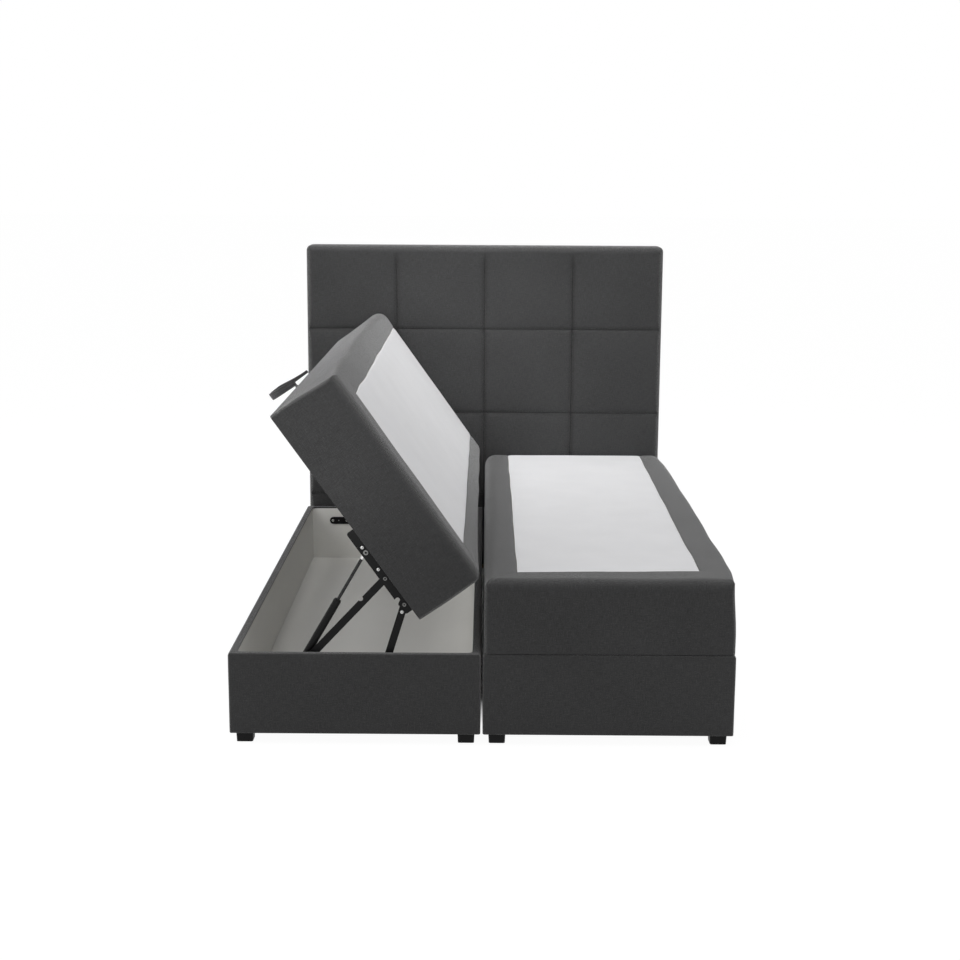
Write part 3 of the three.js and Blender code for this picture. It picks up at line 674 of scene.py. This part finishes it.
def swell(shape):
    """Gives the cover its belly, its slack waves, its sunk seams and the puffed long edges."""
    low, high = lid_low, lid_high
    grooves = shape.verts.layers.float["groove"]
    skin_gap, belly_depth, slow_wave, quick_wave = 0.0008, 0.0018, 0.0026, 0.0012
    outer_puff, inner_puff_share = 0.0036, 0.3
    tuck_height, tuck_depth = 0.007, 0.0006
    edge_wave, edge_shift, foot_pull = 0.0045, 0.0026, 0.0078
    for vertex in shape.verts:
        co = vertex.co
        on_top = max(0.0, vertex.normal.z)
        rise = min(1.0, (co.z - low.z) / (high.z - low.z))
        belly = belly_depth * math.sin(math.pi * rise) * (1 - on_top)
        waves = slow_wave * ripple(co, 0.21, 1) + quick_wave * ripple(co, 0.08, 8)
        free = min(1.0, (co.z - low.z) / 0.03)
        edge = min(co.x - low.x, high.x - co.x)
        puff = outer_puff * ramp(rise, 0.45, 0.9) * bell(edge, 0.045)
        puff *= ramp(co.y, low.y + 0.03, low.y + 0.35)
        puff *= 1 if co.x > (low.x + high.x) / 2 else inner_puff_share
        sunk = vertex[grooves] * on_top
        tuck = ramp(low.z + tuck_height - co.z, 0, tuck_height) * tuck_depth
        vertex.co += vertex.normal * ((belly + waves - skin_gap) * free - sunk - tuck + puff)
        outer = ramp(co.x, high.x - 0.14, high.x)
        co.x += edge_wave * outer * ramp(rise, 0.5, 0.9) * ripple((0, co.y, 0), 0.17, 71)
        pulled_in = foot_pull * ramp(rise, 0.2, 0.8) * bell(co.y - low.y, 0.12)
        co.x += outer * (edge_shift - pulled_in)


def lid_shape():
    shape = lid_block()
    mark_window(shape)
    for corner, seam, _ in mitres:
        mitre(shape, corner, seam)
    turn_hem(shape)
    shape.normal_update()
    lay_cloth(shape)
    mark_grooves(shape)
    stray_and_round(shape)
    shape.normal_update()
    swell(shape)
    return shape


def part_of(shape, layer, wanted):
    """A copy of a shape with only the faces whose layer has the wanted number."""
    copy = shape.copy()
    marks = copy.faces.layers.int[layer]
    unwanted = [face for face in copy.faces if face[marks] != wanted]
    bmesh.ops.delete(copy, geom=unwanted, context="FACES")
    return copy


def felt_finish():
    finish = Finish("panel_felt")
    place = finish.cloth_place()
    fibre = finish.noise(finish.scaled(place, (700, 220, 1)), 1.0, 3.0)
    tuft = finish.noise(place, 420, 2.0)
    cloud = finish.noise(place, 7, 3.0)
    level = 0.5 + 0.5 * (fibre - 0.5) + 0.3 * (tuft - 0.5) + 0.5 * (cloud - 0.5)
    colour = finish.mix(level, (0.61, 0.61, 0.622, 1), (0.74, 0.74, 0.75, 1))
    # Painted highlight: the panel's boundary is painted near white, as light caught by the felt where it
    # turns over its edge.
    edge_highlight = finish.mark("edge_highlight")
    colour = finish.mix(edge_highlight * 0.9, colour, (0.93, 0.93, 0.94, 1))
    return finish.surface(colour, fibre + tuft, 0.0003, Roughness=0.95, Sheen_Weight=0.1,
                          Specular_IOR_Level=0.2)


felt = felt_finish()


def add_lid_soft(side, shape):
    cover = part_of(shape, "window", 0)
    panel = part_of(shape, "window", 1)
    shape.free()
    # Marks the panel's boundary points, where its colour gets a painted highlight.
    edges = panel.verts.layers.float.new("edge_highlight")
    for vertex in panel.verts:
        vertex[edges] = float(vertex.is_boundary)
    made = add_piece(f"{side}_lid_upholstery", cover, upholstery, f"{side}_lid",
                     [f"{side}_lid_cover"])
    thicken(made, 0.0025)
    felted = add_piece(f"{side}_lid_felt", panel, felt, f"{side}_lid", [f"{side}_lid_panel"])
    thicken(felted, 0.0025)


on_both_sides(lid_shape(), "lid", add_lid_soft)


# Inside the lids: a foam pad under the cloth, a core of pocketed springs, and a timber frame with slats
# that the core stands on. The frame's underside carries the rails and the pull strap.
def foam_finish():
    finish = Finish("foam")
    place = finish.place()
    cells = finish.node("TexVoronoi", {"Vector": place, "Scale": 500.0})
    cloud = finish.noise(place, 12, 2.0)
    colour = finish.mix(cells * 0.6 + cloud * 0.5, (0.62, 0.57, 0.42, 1), (0.78, 0.74, 0.60, 1))
    return finish.surface(colour, cells, 0.0006, Roughness=0.95)


def pocket_finish():
    finish = Finish("spring_pockets")
    place = finish.place()
    dots = finish.node("TexVoronoi", {"Vector": place, "Scale": 420.0, "Randomness": 0.0})
    fibre = finish.noise(place, 300, 3.0)
    colour = finish.mix(finish.limited(dots, 0.2, 0.5), (0.55, 0.55, 0.56, 1), (0.78, 0.78, 0.79, 1))
    return finish.surface(colour, dots + fibre * 0.5, 0.0003, Roughness=0.85)


def timber_finish():
    finish = Finish("raw_timber")
    place = finish.place()
    stretched = finish.scaled(place, (40, 3, 40))
    rings = finish.noise(stretched, 1.2, 4.0, 0.6)
    fine = finish.noise(finish.scaled(place, (600, 12, 600)), 1.0, 2.0)
    level = finish.limited(rings, 0.3, 0.7) * 0.7 + fine * 0.4
    colour = finish.mix(level, (0.36, 0.24, 0.125, 1), (0.62, 0.46, 0.28, 1))
    return finish.surface(colour, rings + fine * 0.5, 0.0004, Roughness=0.75)


foam, pockets, timber = foam_finish(), pocket_finish(), timber_finish()


def pad_shape():
    low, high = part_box("right_lid_pad")
    low, high = low + Vector((0.003, 0.002, 0)), high - Vector((0.003, 0.002, 0.003))
    shape = new_block(low, high)
    round_size = 0.050
    for axis in (0, 1):
        places = round_places(low[axis], 1, round_size, 3) + round_places(high[axis], -1, round_size, 3)
        cut_across(shape, axis, places + even(low[axis] + 0.05, high[axis] - 0.05, 0.1))
    cut_across(shape, 2, round_places(high.z, -1, round_size, 3))
    below = Vector((low.x, low.y, low.z - 1))
    for vertex in shape.verts:
        round_off(vertex.co, (0, 1), low, high, 0.012)
        round_off(vertex.co, (0, 2), below, high, round_size)
        round_off(vertex.co, (1, 2), below, high, round_size)
        if vertex.co.z > low.z + 0.001:
            vertex.co.z -= 0.0015 * (1 + ripple(vertex.co, 0.1, 21))
    return shape


def add_pad(side, shape):
    made = add_piece(f"{side}_lid_foam", shape, foam, f"{side}_lid", [f"{side}_lid_pad"])


on_both_sides(pad_shape(), "lid", add_pad)


def spring_shape():
    low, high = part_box("right_spring_core")
    rows = (11, 32)
    margin, gap, waist = 0.008, 0.0008, 0.16
    pitch = [(high[i] - low[i] - 2 * margin) / rows[i] for i in (0, 1)]
    radius = min(pitch) / 2 - gap
    pocket = bmesh.new()
    bmesh.ops.create_cone(pocket, cap_ends=True, segments=10, radius1=radius, radius2=radius,
                          depth=high.z - low.z - 0.001)
    cut_across(pocket, 2, [-0.045, -0.015, 0.015, 0.045])
    for vertex in pocket.verts:
        narrowed = 1 - waist * (abs(vertex.co.z) / ((high.z - low.z) / 2)) ** 2
        vertex.co.x *= narrowed
        vertex.co.y *= narrowed
    middle = (low.z + high.z) / 2
    places = [
        Matrix.Translation((low.x + margin + (column + 0.5) * pitch[0],
                            low.y + margin + (row + 0.5) * pitch[1], middle))
        for column in range(rows[0]) for row in range(rows[1])
    ]
    shape = bmesh.new()
    stamp(shape, pocket, places)
    pocket.free()
    return shape


def add_springs(side, shape):
    add_piece(f"{side}_spring_pockets", shape, pockets, f"{side}_lid",
              [f"{side}_spring_core"], sharp=50)


on_both_sides(spring_shape(), "lid", add_springs)
refinish([f"{side}_lid_frame" for side in sides], timber)


# Dust cloths: thin black non-woven sheets that close the lids from below. Each is stapled to its lid's
# frame, and is a little slack between the slats.
def fleece_finish():
    finish = Finish("dust_cloth")
    place = finish.place()
    dots = finish.node("TexVoronoi", {"Vector": place, "Scale": 380.0, "Randomness": 0.0})
    fibre = finish.noise(place, 260, 3.0)
    level = finish.limited(dots, 0.15, 0.5) * fibre
    colour = finish.mix(level, (0.010, 0.010, 0.011, 1), (0.030, 0.030, 0.032, 1))
    return finish.surface(colour, dots + fibre, 0.0002, Roughness=0.9)


fleece = fleece_finish()


def dust_shape():
    low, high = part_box("right_lid_frame")
    inset = Vector((0.006, 0.006, 0))
    low, high = low + inset, high - inset
    shape = bmesh.new()
    size = (high - low) / 2
    place = Matrix.Translation(((low.x + high.x) / 2, (low.y + high.y) / 2, low.z - 0.00008))
    bmesh.ops.create_grid(shape, x_segments=24, y_segments=66, size=1,
                          matrix=place @ Matrix.Diagonal((size.x, size.y, 1, 1)))
    for vertex in shape.verts:
        co = vertex.co
        margin = min(co.x - low.x, high.x - co.x, co.y - low.y, high.y - co.y)
        slack = max(0.0, min(1.0, (margin - 0.075) / 0.06))
        co.z -= 0.004 * slack * (0.8 + 0.5 * ripple(co, 0.2, 31))
    bmesh.ops.reverse_faces(shape, faces=shape.faces)
    return shape


def add_dust_cloth(side, shape):
    made = add_piece(f"{side}_dust_cloth", shape, fleece, f"{side}_lid")
    thicken(made, 0.0001, offset=0, smooth=False)


on_both_sides(dust_shape(), "lid", add_dust_cloth)


# Pull straps: ribbed black webbing in a loop whose two ends are fixed under the lid's outer lower edge.
# The webbing is stiff, so the loop keeps its shape when the lid opens.
def webbing_finish():
    finish = Finish("webbing")
    place = finish.cloth_place()
    u, v = finish.split(place)
    twill = finish.maths("SINE", (u + v) * 3200.0) * 0.5 + 0.5
    ribs = finish.maths("SINE", v * 1900.0) * 0.5 + 0.5
    fibre = finish.noise(finish.scaled(place, (1500, 300, 1)), 1.0, 2.0)
    level = twill * 0.35 + ribs * 0.25 + fibre * 0.4
    colour = finish.mix(level, (0.006, 0.006, 0.007, 1), (0.045, 0.045, 0.048, 1))
    return finish.surface(colour, twill + ribs, 0.0003, Roughness=0.75, Sheen_Weight=0.25,
                          Sheen_Roughness=0.4)


webbing = webbing_finish()
strap_low, strap_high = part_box("right_pull_strap")
strap_tab = 0.045
strap_width = 0.023
strap_ribs = 5


def strap_shape():
    """A band that hangs beside the lid as a slack loop and narrows where it comes from under the lid."""
    low, high = strap_low, strap_high
    middle = (low.y + high.y) / 2
    half = (high.y - low.y) / 2 - strap_tab
    drop = high.z - low.z - 0.0030
    inner = high.x - strap_width + 0.0006
    shape = bmesh.new()
    bmesh.ops.create_grid(shape, x_segments=96, y_segments=20, size=1)
    layer = shape.loops.layers.uv.new("cloth")
    for face in shape.faces:
        for loop in face.loops:
            loop[layer].uv = (loop.vert.co.x * half * 1.15, loop.vert.co.y * strap_width / 2)
    for vertex in shape.verts:
        share, across = vertex.co.x, vertex.co.y
        narrowed = 0.55 * ramp(share, 0.5, 1) + 0.2 * ramp(-share, 0.75, 1)
        width = (strap_width - 0.0012) * (1 - narrowed)
        width *= 1 - 0.12 * (across * across) * (abs(share) < 0.03)
        bend = 1 - abs(share) ** 2.7
        out = Vector((0, 2.7 * drop * math.copysign(abs(share) ** 1.7, share), -half)).normalized()
        rib = 0.0007 * math.cos(math.pi * strap_ribs * across) * (1 - ramp(abs(across), 0.85, 1.0))
        fall = high.z - 0.0012 - (drop - 0.001) * bend
        sway = 0.0008 * ripple((share, 0, 0), 0.6, 41) * bend
        vertex.co = Vector((inner + (across + 1) / 2 * width + abs(sway), middle + share * half, fall))
        vertex.co += out * rib
    return shape


def add_strap(side, shape):
    made = add_piece(f"{side}_strap_loop", shape, webbing, f"{side}_lid", [f"{side}_pull_strap"])
    thicken(made, 0.0018, offset=0)


on_both_sides(strap_shape(), "lid", add_strap)


def tab_shape():
    low, high = strap_low, strap_high
    shape = bmesh.new()
    layer = shape.loops.layers.uv.new("cloth")
    inner = high.x - strap_width + 0.0015
    ends, thick, cuts = 0.001, 0.0017, 24
    for start in (low.y, high.y - strap_tab):
        near, far = start + ends, start + strap_tab - ends
        block = new_block((low.x, near, high.z - thick), (inner, far, high.z))
        cut_across(block, 1, [start + strap_tab * i / cuts for i in range(1, cuts)])
        for vertex in block.verts:
            if vertex.co.z < high.z - 0.001:
                rib = abs(math.cos(math.pi * 9 * (vertex.co.y - start) / strap_tab))
                vertex.co.z -= 0.0004 * rib
        stamp(shape, block, [Matrix()])
        block.free()
    for face in shape.faces:
        for loop in face.loops:
            loop[layer].uv = (loop.vert.co.x, loop.vert.co.y)
    return shape


def add_tabs(side, shape):
    add_piece(f"{side}_strap_ends", shape, webbing, f"{side}_lid", sharp=60)


on_both_sides(tab_shape(), "lid", add_tabs)


# Lift fittings: pressed steel bars in black powder coat at both ends of each box. A short link and a
# long link carry the lid's rail, and a gas spring between rail and long link's foot takes the weight.
def powder_finish():
    finish = Finish("black_powder_coat")
    place = finish.place()
    orange_peel = finish.noise(place, 700, 2.0)
    wear = finish.limited(finish.noise(place, 90, 4.0), 0.62, 0.80)
    colour = finish.mix(wear, (0.0045, 0.0045, 0.0047, 1), (0.013, 0.013, 0.0135, 1))
    return finish.surface(colour, orange_peel, 0.00012, Roughness=0.42 + 0.2 * wear, Specular_IOR_Level=0.14)


def plated_finish(name, base, rough):
    finish = Finish(name)
    place = finish.place()
    brushed = finish.noise(place, 1100, 2.0)
    stain = finish.noise(place, 260, 3.0)
    dull = tuple(0.72 * channel for channel in base[:3]) + (1,)
    colour = finish.mix(finish.limited(stain, 0.35, 0.7), base, dull)
    return finish.surface(colour, brushed, 0.00006, Roughness=rough + 0.15 * stain, Metallic=0.85)


powder = powder_finish()
zinc = plated_finish("bright_zinc", (0.80, 0.80, 0.79, 1), 0.22)
rivet_steel = plated_finish("rivet_steel", (0.22, 0.22, 0.215, 1), 0.35)
plates = ("bracket", "lid_rail", "short_link", "long_link")
steel_names = [f"{side}_{end}_{plate}" for side in sides for end in box_ends for plate in plates]
refinish(steel_names, powder)


def head_shape(radius, height, recess):
    """A pan head with a cross recess, standing on the origin and looking up."""
    head = bmesh.new()
    bmesh.ops.create_cone(head, cap_ends=True, segments=20, radius1=radius, radius2=radius * 0.8,
                          depth=height)
    bmesh.ops.translate(head, verts=head.verts, vec=(0, 0, height / 2))
    rim = [edge for edge in head.edges if all(v.co.z > height * 0.9 for v in edge.verts)]
    bmesh.ops.bevel(head, geom=rim, offset=height * 0.45, segments=3, profile=0.5, affect="EDGES",
                    material=-1)
    made = [bpy.data.meshes.new(name) for name in ("head", "cross")]
    head.to_mesh(made[0])
    head.free()
    cross = bmesh.new()
    slot = recess * 0.28
    lifted = Matrix.Translation((0, 0, height * 1.05))
    for size in ((recess, slot, height), (slot, recess, height)):
        bmesh.ops.create_cube(cross, size=1, matrix=lifted @ Matrix.Diagonal((*size, 1)))
    cross.to_mesh(made[1])
    cross.free()
    whole, cutter = [bpy.data.objects.new(mesh.name, mesh) for mesh in made]
    for made_object in (whole, cutter):
        bpy.context.scene.collection.objects.link(made_object)
    carve = whole.modifiers.new("recess", "BOOLEAN")
    carve.object = cutter
    carve.operation = "DIFFERENCE"
    carve.use_self = True
    shape = bmesh.new()
    shape.from_object(whole, bpy.context.evaluated_depsgraph_get())
    for made_object in (whole, cutter):
        bpy.data.objects.remove(made_object)
    for mesh in made:
        bpy.data.meshes.remove(mesh)
    return shape


def spun(chain, axis, steps, closed=False):
    """A shape made by turning a chain of points round an axis through the origin."""
    shape = bmesh.new()
    points = [shape.verts.new(point) for point in chain]
    following = points[1:] + (points[:1] if closed else [])
    edges = [shape.edges.new(pair) for pair in zip(points, following)]
    bmesh.ops.spin(shape, geom=points + edges, cent=(0, 0, 0), axis=axis, angle=math.tau, steps=steps,
                   use_merge=True)
    bmesh.ops.remove_doubles(shape, verts=shape.verts, dist=weld)
    bmesh.ops.recalc_face_normals(shape, faces=shape.faces)
    return shape


def rivet_shape(radius, height):
    """A flat rivet head with a raised ring round a dished middle."""
    profile = [(0, 0.35), (0.35, 0.38), (0.45, 0.95), (0.62, 1.0), (0.80, 0.92), (0.95, 0.62), (1.0, 0.0)]
    return spun([(x * radius, 0, z * height) for x, z in profile], (0, 0, 1), 20)


long_top = Vector(right_joints["long_link_turn"]["pos_m"])
short_top = Vector(right_joints["lid_tilt"]["pos_m"])
short_base = Vector(right_joints["lid_lift"]["pos_m"])
gas_top = Vector(right_joints["gas_rod_turn"]["pos_m"])
outer_run, small_run, second_run = 0.012, 0.035, 0.067
inner_runs = (0.014, 0.130)
link_screw_place = 0.023
bracket_low, bracket_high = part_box("right_foot_end_bracket")
plate_height = bracket_high.z - 0.014
large_head = head_shape(0.0054, 0.0021, 0.0052)
small_head = head_shape(0.0026, 0.0019, 0.0026)
rivet = rivet_shape(0.0062, 0.0020)
ring_rivet = rivet_shape(0.0076, 0.0021)
link_way = (short_base - short_top).normalized()
link_screw = short_top + link_way * link_screw_place


def at(x, z):
    return Vector((x, 0, z))


bracket_screws = [at(bracket_high.x - run, plate_height) for run in (outer_run, second_run)]
bracket_screws += [at(bracket_low.x + run, plate_height) for run in inner_runs]
small_screws = [at(bracket_high.x - small_run, plate_height)]
rail_screws = [long_top + at(0.032, 0), gas_top + at(0.017, 0)]
fastenings = [
    ("bracket_screws", "base", "base", zinc, large_head, bracket_screws, 0.0033, 1),
    ("bracket_small_screw", "base", "base", zinc, small_head, small_screws, 0.0033, 1),
    ("rail_screws", "lid", "lid", zinc, large_head, rail_screws, 0.0023, -1),
    ("link_screw", "short_links", "short_links", zinc, large_head, [link_screw], 0.0063, -1),
    ("rail_rivets", "lid", "lid", rivet_steel, rivet, [short_top, long_top], 0.0023, -1),
    ("gas_rivet", "lid", "lid", rivet_steel, ring_rivet, [gas_top], 0.0023, -1),
]


def wall_face(end):
    """A box's inner end face, and the way from it into the box."""
    low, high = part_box(f"right_{end}_wall")
    return (high.y, 1) if end == "foot_end" else (low.y, -1)


def add_fastenings(end):
    face, inwards = wall_face(end)
    for name, place, body, material, head, places, depth, looks in fastenings:
        shape = bmesh.new()
        tip = Matrix.Rotation(-math.pi / 2 * looks * inwards, 4, "X")
        seats = [Matrix.Translation((spot.x, face + inwards * depth, spot.z)) @ tip for spot in places]
        stamp(shape, head, seats)

        def add_heads(side, copy):
            rider = body if body == "base" else f"{side}_{body}"
            add_piece(f"{side}_{end}_{name}", copy, material, rider, sharp=35)

        on_both_sides(shape, place, add_heads)


for end in box_ends:
    add_fastenings(end)
for head in (large_head, small_head, rivet, ring_rivet):
    head.free()


# Gas springs: a black painted cylinder pinned at the long link's foot, and a dark polished rod with a
# zinc eye that is riveted to the rail.
def rod_finish():
    finish = Finish("polished_rod")
    place = finish.place()
    film = finish.noise(place, 60, 3.0)
    colour = finish.mix(film, (0.010, 0.010, 0.0105, 1), (0.028, 0.028, 0.029, 1))
    return finish.surface(colour, film, 0.00002, Roughness=0.22 + 0.12 * film, Metallic=0.3,
                          Specular_IOR_Level=0.3)


polished = rod_finish()
tube_radius, rod_radius, eye_radius = 0.011, 0.0046, 0.009
eye_bore, eye_thick, eye_chamfer = 0.0043, 0.009, 0.001
groove_radius = 0.0103
gas_stand_off = 0.023
foot_place = at(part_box("right_foot_end_gas_tube")[1].x - eye_radius, plate_height)
gas_length = (foot_place - gas_top).length
tube_reach = gas_length - 0.042
rod_length = gas_length - 0.033


def turned_shape(profile):
    """A turned piece along X from (along, radius) pairs."""
    return spun([(along, 0, radius) for along, radius in profile], (1, 0, 0), 28)


def eye_shape():
    """A flat eye round a pin, its hole along Y."""
    half, rim = eye_thick / 2, eye_radius - eye_chamfer
    profile = [(eye_bore, -half), (rim, -half), (eye_radius, -half + eye_chamfer),
               (eye_radius, half - eye_chamfer), (rim, half), (eye_bore, half)]
    return spun([(radius, y, 0) for radius, y in profile], (0, 1, 0), 24, closed=True)


def pin_shape(radius, low, high):
    shape = bmesh.new()
    place = Matrix.Translation((0, (low + high) / 2, 0)) @ Matrix.Rotation(math.pi / 2, 4, "X")
    bmesh.ops.create_cone(shape, cap_ends=True, segments=20, radius1=radius, radius2=radius,
                          depth=high - low, matrix=place)
    rims = [edge for edge in shape.edges if len({round(v.co.y, 6) for v in edge.verts}) == 1]
    bmesh.ops.bevel(shape, geom=rims, offset=0.0004, segments=2, profile=0.5, affect="EDGES", material=-1)
    return shape


def cylinder_shape():
    """The cylinder with its neck, a groove near its mouth, the eye at its foot and the eye's pin."""
    tube = turned_shape([
        (0.0075, 0.0), (0.0075, 0.0045), (0.0135, 0.0045), (0.0150, 0.0085), (0.0175, 0.0106),
        (0.0195, tube_radius), (tube_reach - 0.0200, tube_radius), (tube_reach - 0.0192, groove_radius),
        (tube_reach - 0.0172, groove_radius), (tube_reach - 0.0164, tube_radius),
        (tube_reach - 0.0050, tube_radius), (tube_reach - 0.0020, groove_radius), (tube_reach, 0.0085),
        (tube_reach, rod_radius), (tube_reach - 0.004, rod_radius), (tube_reach - 0.004, 0.0),
    ])
    stub = pin_shape(0.0039, -0.0117, 0.0055)
    head = pin_shape(0.0078, 0.0046, 0.0064)
    return together(tube, eye_shape(), stub, head)


def rod_shape():
    start, chamfer = 0.020, 0.0008
    return turned_shape([(start, 0.0), (start, rod_radius), (rod_length - chamfer, rod_radius),
                         (rod_length, rod_radius - chamfer), (rod_length, 0.0)])


def rod_eye_shape():
    """The rod's collar with the eye that the rivet holds."""
    collar = turned_shape([(0.0075, 0.0), (0.0075, 0.0044), (0.0105, 0.0052), (0.0240, 0.0052),
                           (0.0265, 0.0048), (0.0265, 0.0)])
    return together(collar, eye_shape())


def add_turned(name, shape, place, material, body, replaced=()):
    bmesh.ops.transform(shape, matrix=place, verts=shape.verts)
    bmesh.ops.recalc_face_normals(shape, faces=shape.faces)
    add_piece(name, shape, material, body, replaced, sharp=35)


def add_gas_spring(side, end):
    face, inwards = wall_face(end)
    joints_of_side = right_joints if side == "right" else left_joints
    top = Vector(joints_of_side["gas_rod_turn"]["pos_m"])
    foot = Vector((foot_place.x * (1 if side == "right" else -1), 0, foot_place.z))
    depth = face + inwards * gas_stand_off
    run = (top - foot).normalized()
    pin_way = Vector((0, inwards, 0))
    basis = Matrix((run, pin_way, run.cross(pin_way))).transposed().to_4x4()
    up = Matrix.Translation((foot.x, depth, foot.z)) @ basis
    down = Matrix.Translation((top.x, depth, top.z)) @ basis @ Matrix.Rotation(math.pi, 4, "Y")
    fitting = f"{side}_{end}"
    add_turned(f"{fitting}_gas_cylinder", cylinder_shape(), up, powder, f"{side}_gas_tubes",
               [f"{fitting}_gas_tube"])
    add_turned(f"{fitting}_piston_rod", rod_shape(), down, polished, f"{side}_gas_rods",
               [f"{fitting}_gas_rod"])
    add_turned(f"{fitting}_rod_eye", rod_eye_shape(), down, zinc, f"{side}_gas_rods")


for side in sides:
    for end in box_ends:
        add_gas_spring(side, end)


# Headboard: a frame of posts and board, a foam layer, and a cloth front quilted in squares by sewn
# channels. The cloth wraps the top and sides and is stapled behind, under a thin black back cloth.
board_low, board_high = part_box("headboard_cover")
board_edge = 0.032
board_corner = 0.024
back_round = 0.0035
top_row, quilt_row, quilt_column = 0.323, 0.329, 0.342
level_seams = [board_high.z - top_row - quilt_row * i for i in range(3)]
upright_seams = [-quilt_column, 0.0, quilt_column]


def crease(distance):
    """How deep a sewn channel is at a distance from its stitches: a narrow crease in a shallow dip."""
    stitch_depth, stitch_width, dip_depth, dip_width = 0.0085, 0.0050, 0.0050, 0.040
    return stitch_depth * math.exp(-abs(distance) / stitch_width) + dip_depth * bell(distance, dip_width)


def headboard_shape():
    low, high = board_low, board_high
    shape = new_block(low, high)
    widths = (0.0025, 0.006, 0.011, 0.020, 0.040)
    across = even(low.x + 0.03, high.x - 0.03, 0.045)
    across = [x for x in across if min(abs(x - seam) for seam in upright_seams) > 0.055]
    for seam in upright_seams:
        across += seam_places(seam, widths)
    across += round_places(low.x, 1, board_edge, 4) + round_places(high.x, -1, board_edge, 4)
    tall = even(low.z + 0.01, high.z - 0.03, 0.045)
    tall = [z for z in tall if min(abs(z - seam) for seam in level_seams) > 0.055]
    for seam in level_seams:
        tall += seam_places(seam, widths)
    tall += round_places(high.z, -1, board_edge, 4) + [low.z + 0.004, low.z + 0.010]
    cut_across(shape, 0, across)
    cut_across(shape, 2, tall)
    deep = round_places(low.y, 1, board_edge, 4) + round_places(high.y, -1, back_round, 2)
    cut_across(shape, 1, deep + [low.y + 0.045])
    hem = 0.016
    cut_across(shape, 0, [low.x + hem, high.x - hem])
    cut_across(shape, 2, [high.z - hem])
    drop_faces(shape, lambda co, normal: normal.z < -mostly)
    inside = lambda co: low.x + hem < co.x < high.x - hem and co.z < high.z - hem
    drop_faces(shape, lambda co, normal: normal.y > mostly and inside(co))
    lay_cloth(shape)
    # Painted shade in the quilting's sewn channels: each front point gets a share of darkening, more along
    # the upright channels than the level ones, and the upright ones fade out under the top.
    crease_shades = shape.verts.layers.float.new("crease_shade")
    upright_shade, flat_shade = 0.75, 0.35
    for vertex in shape.verts:
        co = vertex.co
        front = co.y < low.y + 0.001
        if front:
            top_fade = min(1.0, max(0.0, (high.z - 0.026 - co.z) / 0.03))
            wobble = 0.0012 * ripple((co.x, 0, co.z), 0.12, 51)
            seam = min(abs(co.x + wobble - place) for place in upright_seams)
            level = min(abs(co.z + wobble - place) for place in level_seams)
            dip = max(crease(seam) * top_fade, crease(level))
            upright, flat = bell(seam, 0.008) * top_fade, bell(level, 0.006)
            vertex[crease_shades] = max(upright_shade * upright, flat_shade * flat)
            side = min(co.x - low.x, high.x - co.x)
            co.y += dip * min(1.0, side / 0.012) + 0.0010
            co.y -= 0.0010 * ripple(co, 0.11, 53)
        round_off(co, (0, 2), Vector((low.x, 0, low.z - 1)), high, board_corner)
        round_off(co, (0, 1), low, Vector((high.x, high.y + 1, 0)), board_edge)
        round_off(co, (1, 2), Vector((0, low.y, low.z - 1)), Vector((0, high.y + 1, high.z)), board_edge)
        back = high.y - back_round
        if co.y > back:
            turned = min(1.0, (co.y - back) / back_round)
            co.y += 0.0006 * (turned > 0.99)
            pull = back_round * (1 - math.sqrt(max(0.0, 1 - turned * turned)))
            if co.x < low.x + 0.004 or co.x > high.x - 0.004:
                co.x -= math.copysign(pull, co.x)
            if co.z > high.z - 0.004:
                co.z -= pull
    return shape


headboard = add_piece("headboard_upholstery", headboard_shape(), upholstery, "base",
                      ["headboard_cover"])
thicken(headboard, 0.004)
refinish(["headboard_frame"], timber)


# Headboard's back: a thin black fleece, turned in at its edges and stapled to the frame every few
# centimetres, so that it puckers a little between the staples.
back_low, back_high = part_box("headboard_back_cloth")
staple_pitch = 0.055


def back_shape():
    low, high = back_low, back_high
    shape = bmesh.new()
    place = Matrix.Translation(((low.x + high.x) / 2, high.y - 0.0003, (low.z + high.z) / 2))
    size = Matrix.Diagonal(((high.x - low.x) / 2, 1, (high.z - low.z) / 2, 1))
    bmesh.ops.create_grid(shape, x_segments=150, y_segments=140, size=1,
                          matrix=place @ size @ Matrix.Rotation(math.pi / 2, 4, "X"))
    for vertex in shape.verts:
        co = vertex.co
        margins = [(co.x - low.x, co.z), (high.x - co.x, co.z), (co.z - low.z, co.x), (high.z - co.z, co.x)]
        margin, along = min(margins)
        between = 0.5 - 0.5 * math.cos(2 * math.pi * along / staple_pitch)
        pucker = between * math.exp(-margin / 0.035) * ramp(margin, 0, 0.006)
        co.y -= 0.0010 * pucker + 0.0006 * (0.5 + 0.5 * ripple(co, 0.16, 61)) * ramp(margin, 0.01, 0.08)
    return shape


def staple_shape():
    """Flat staple crowns all round the back cloth, each with its two bent shoulders."""
    low, high = back_low, back_high
    spots = []
    inset = 0.009
    for z in (low.z + inset, high.z - inset):
        spots += [(x, z, True) for x in even(low.x, high.x, staple_pitch)]
    for x in (low.x + inset, high.x - inset):
        spots += [(x, z, False) for z in even(low.z, high.z, staple_pitch)]
    crown = new_block((-0.005, -0.0001, -0.0005), (0.005, 0.0005, 0.0005))
    cut_across(crown, 0, [-0.0042, 0.0042])
    for vertex in crown.verts:
        if abs(vertex.co.x) > 0.0045:
            vertex.co.y -= 0.0004
    upright = Matrix.Rotation(math.pi / 2, 4, "Y")
    shape = bmesh.new()
    stamp(shape, crown, [Matrix.Translation((x, high.y - 0.0002, z)) @ (Matrix() if level else upright)
                         for x, z, level in spots])
    crown.free()
    return shape


back = add_piece("headboard_back_fleece", back_shape(), fleece, "base",
                 ["headboard_back_cloth"])
thicken(back, 0.0003, offset=0, smooth=False)
add_piece("headboard_staples", staple_shape(), zinc, "base", sharp=40)
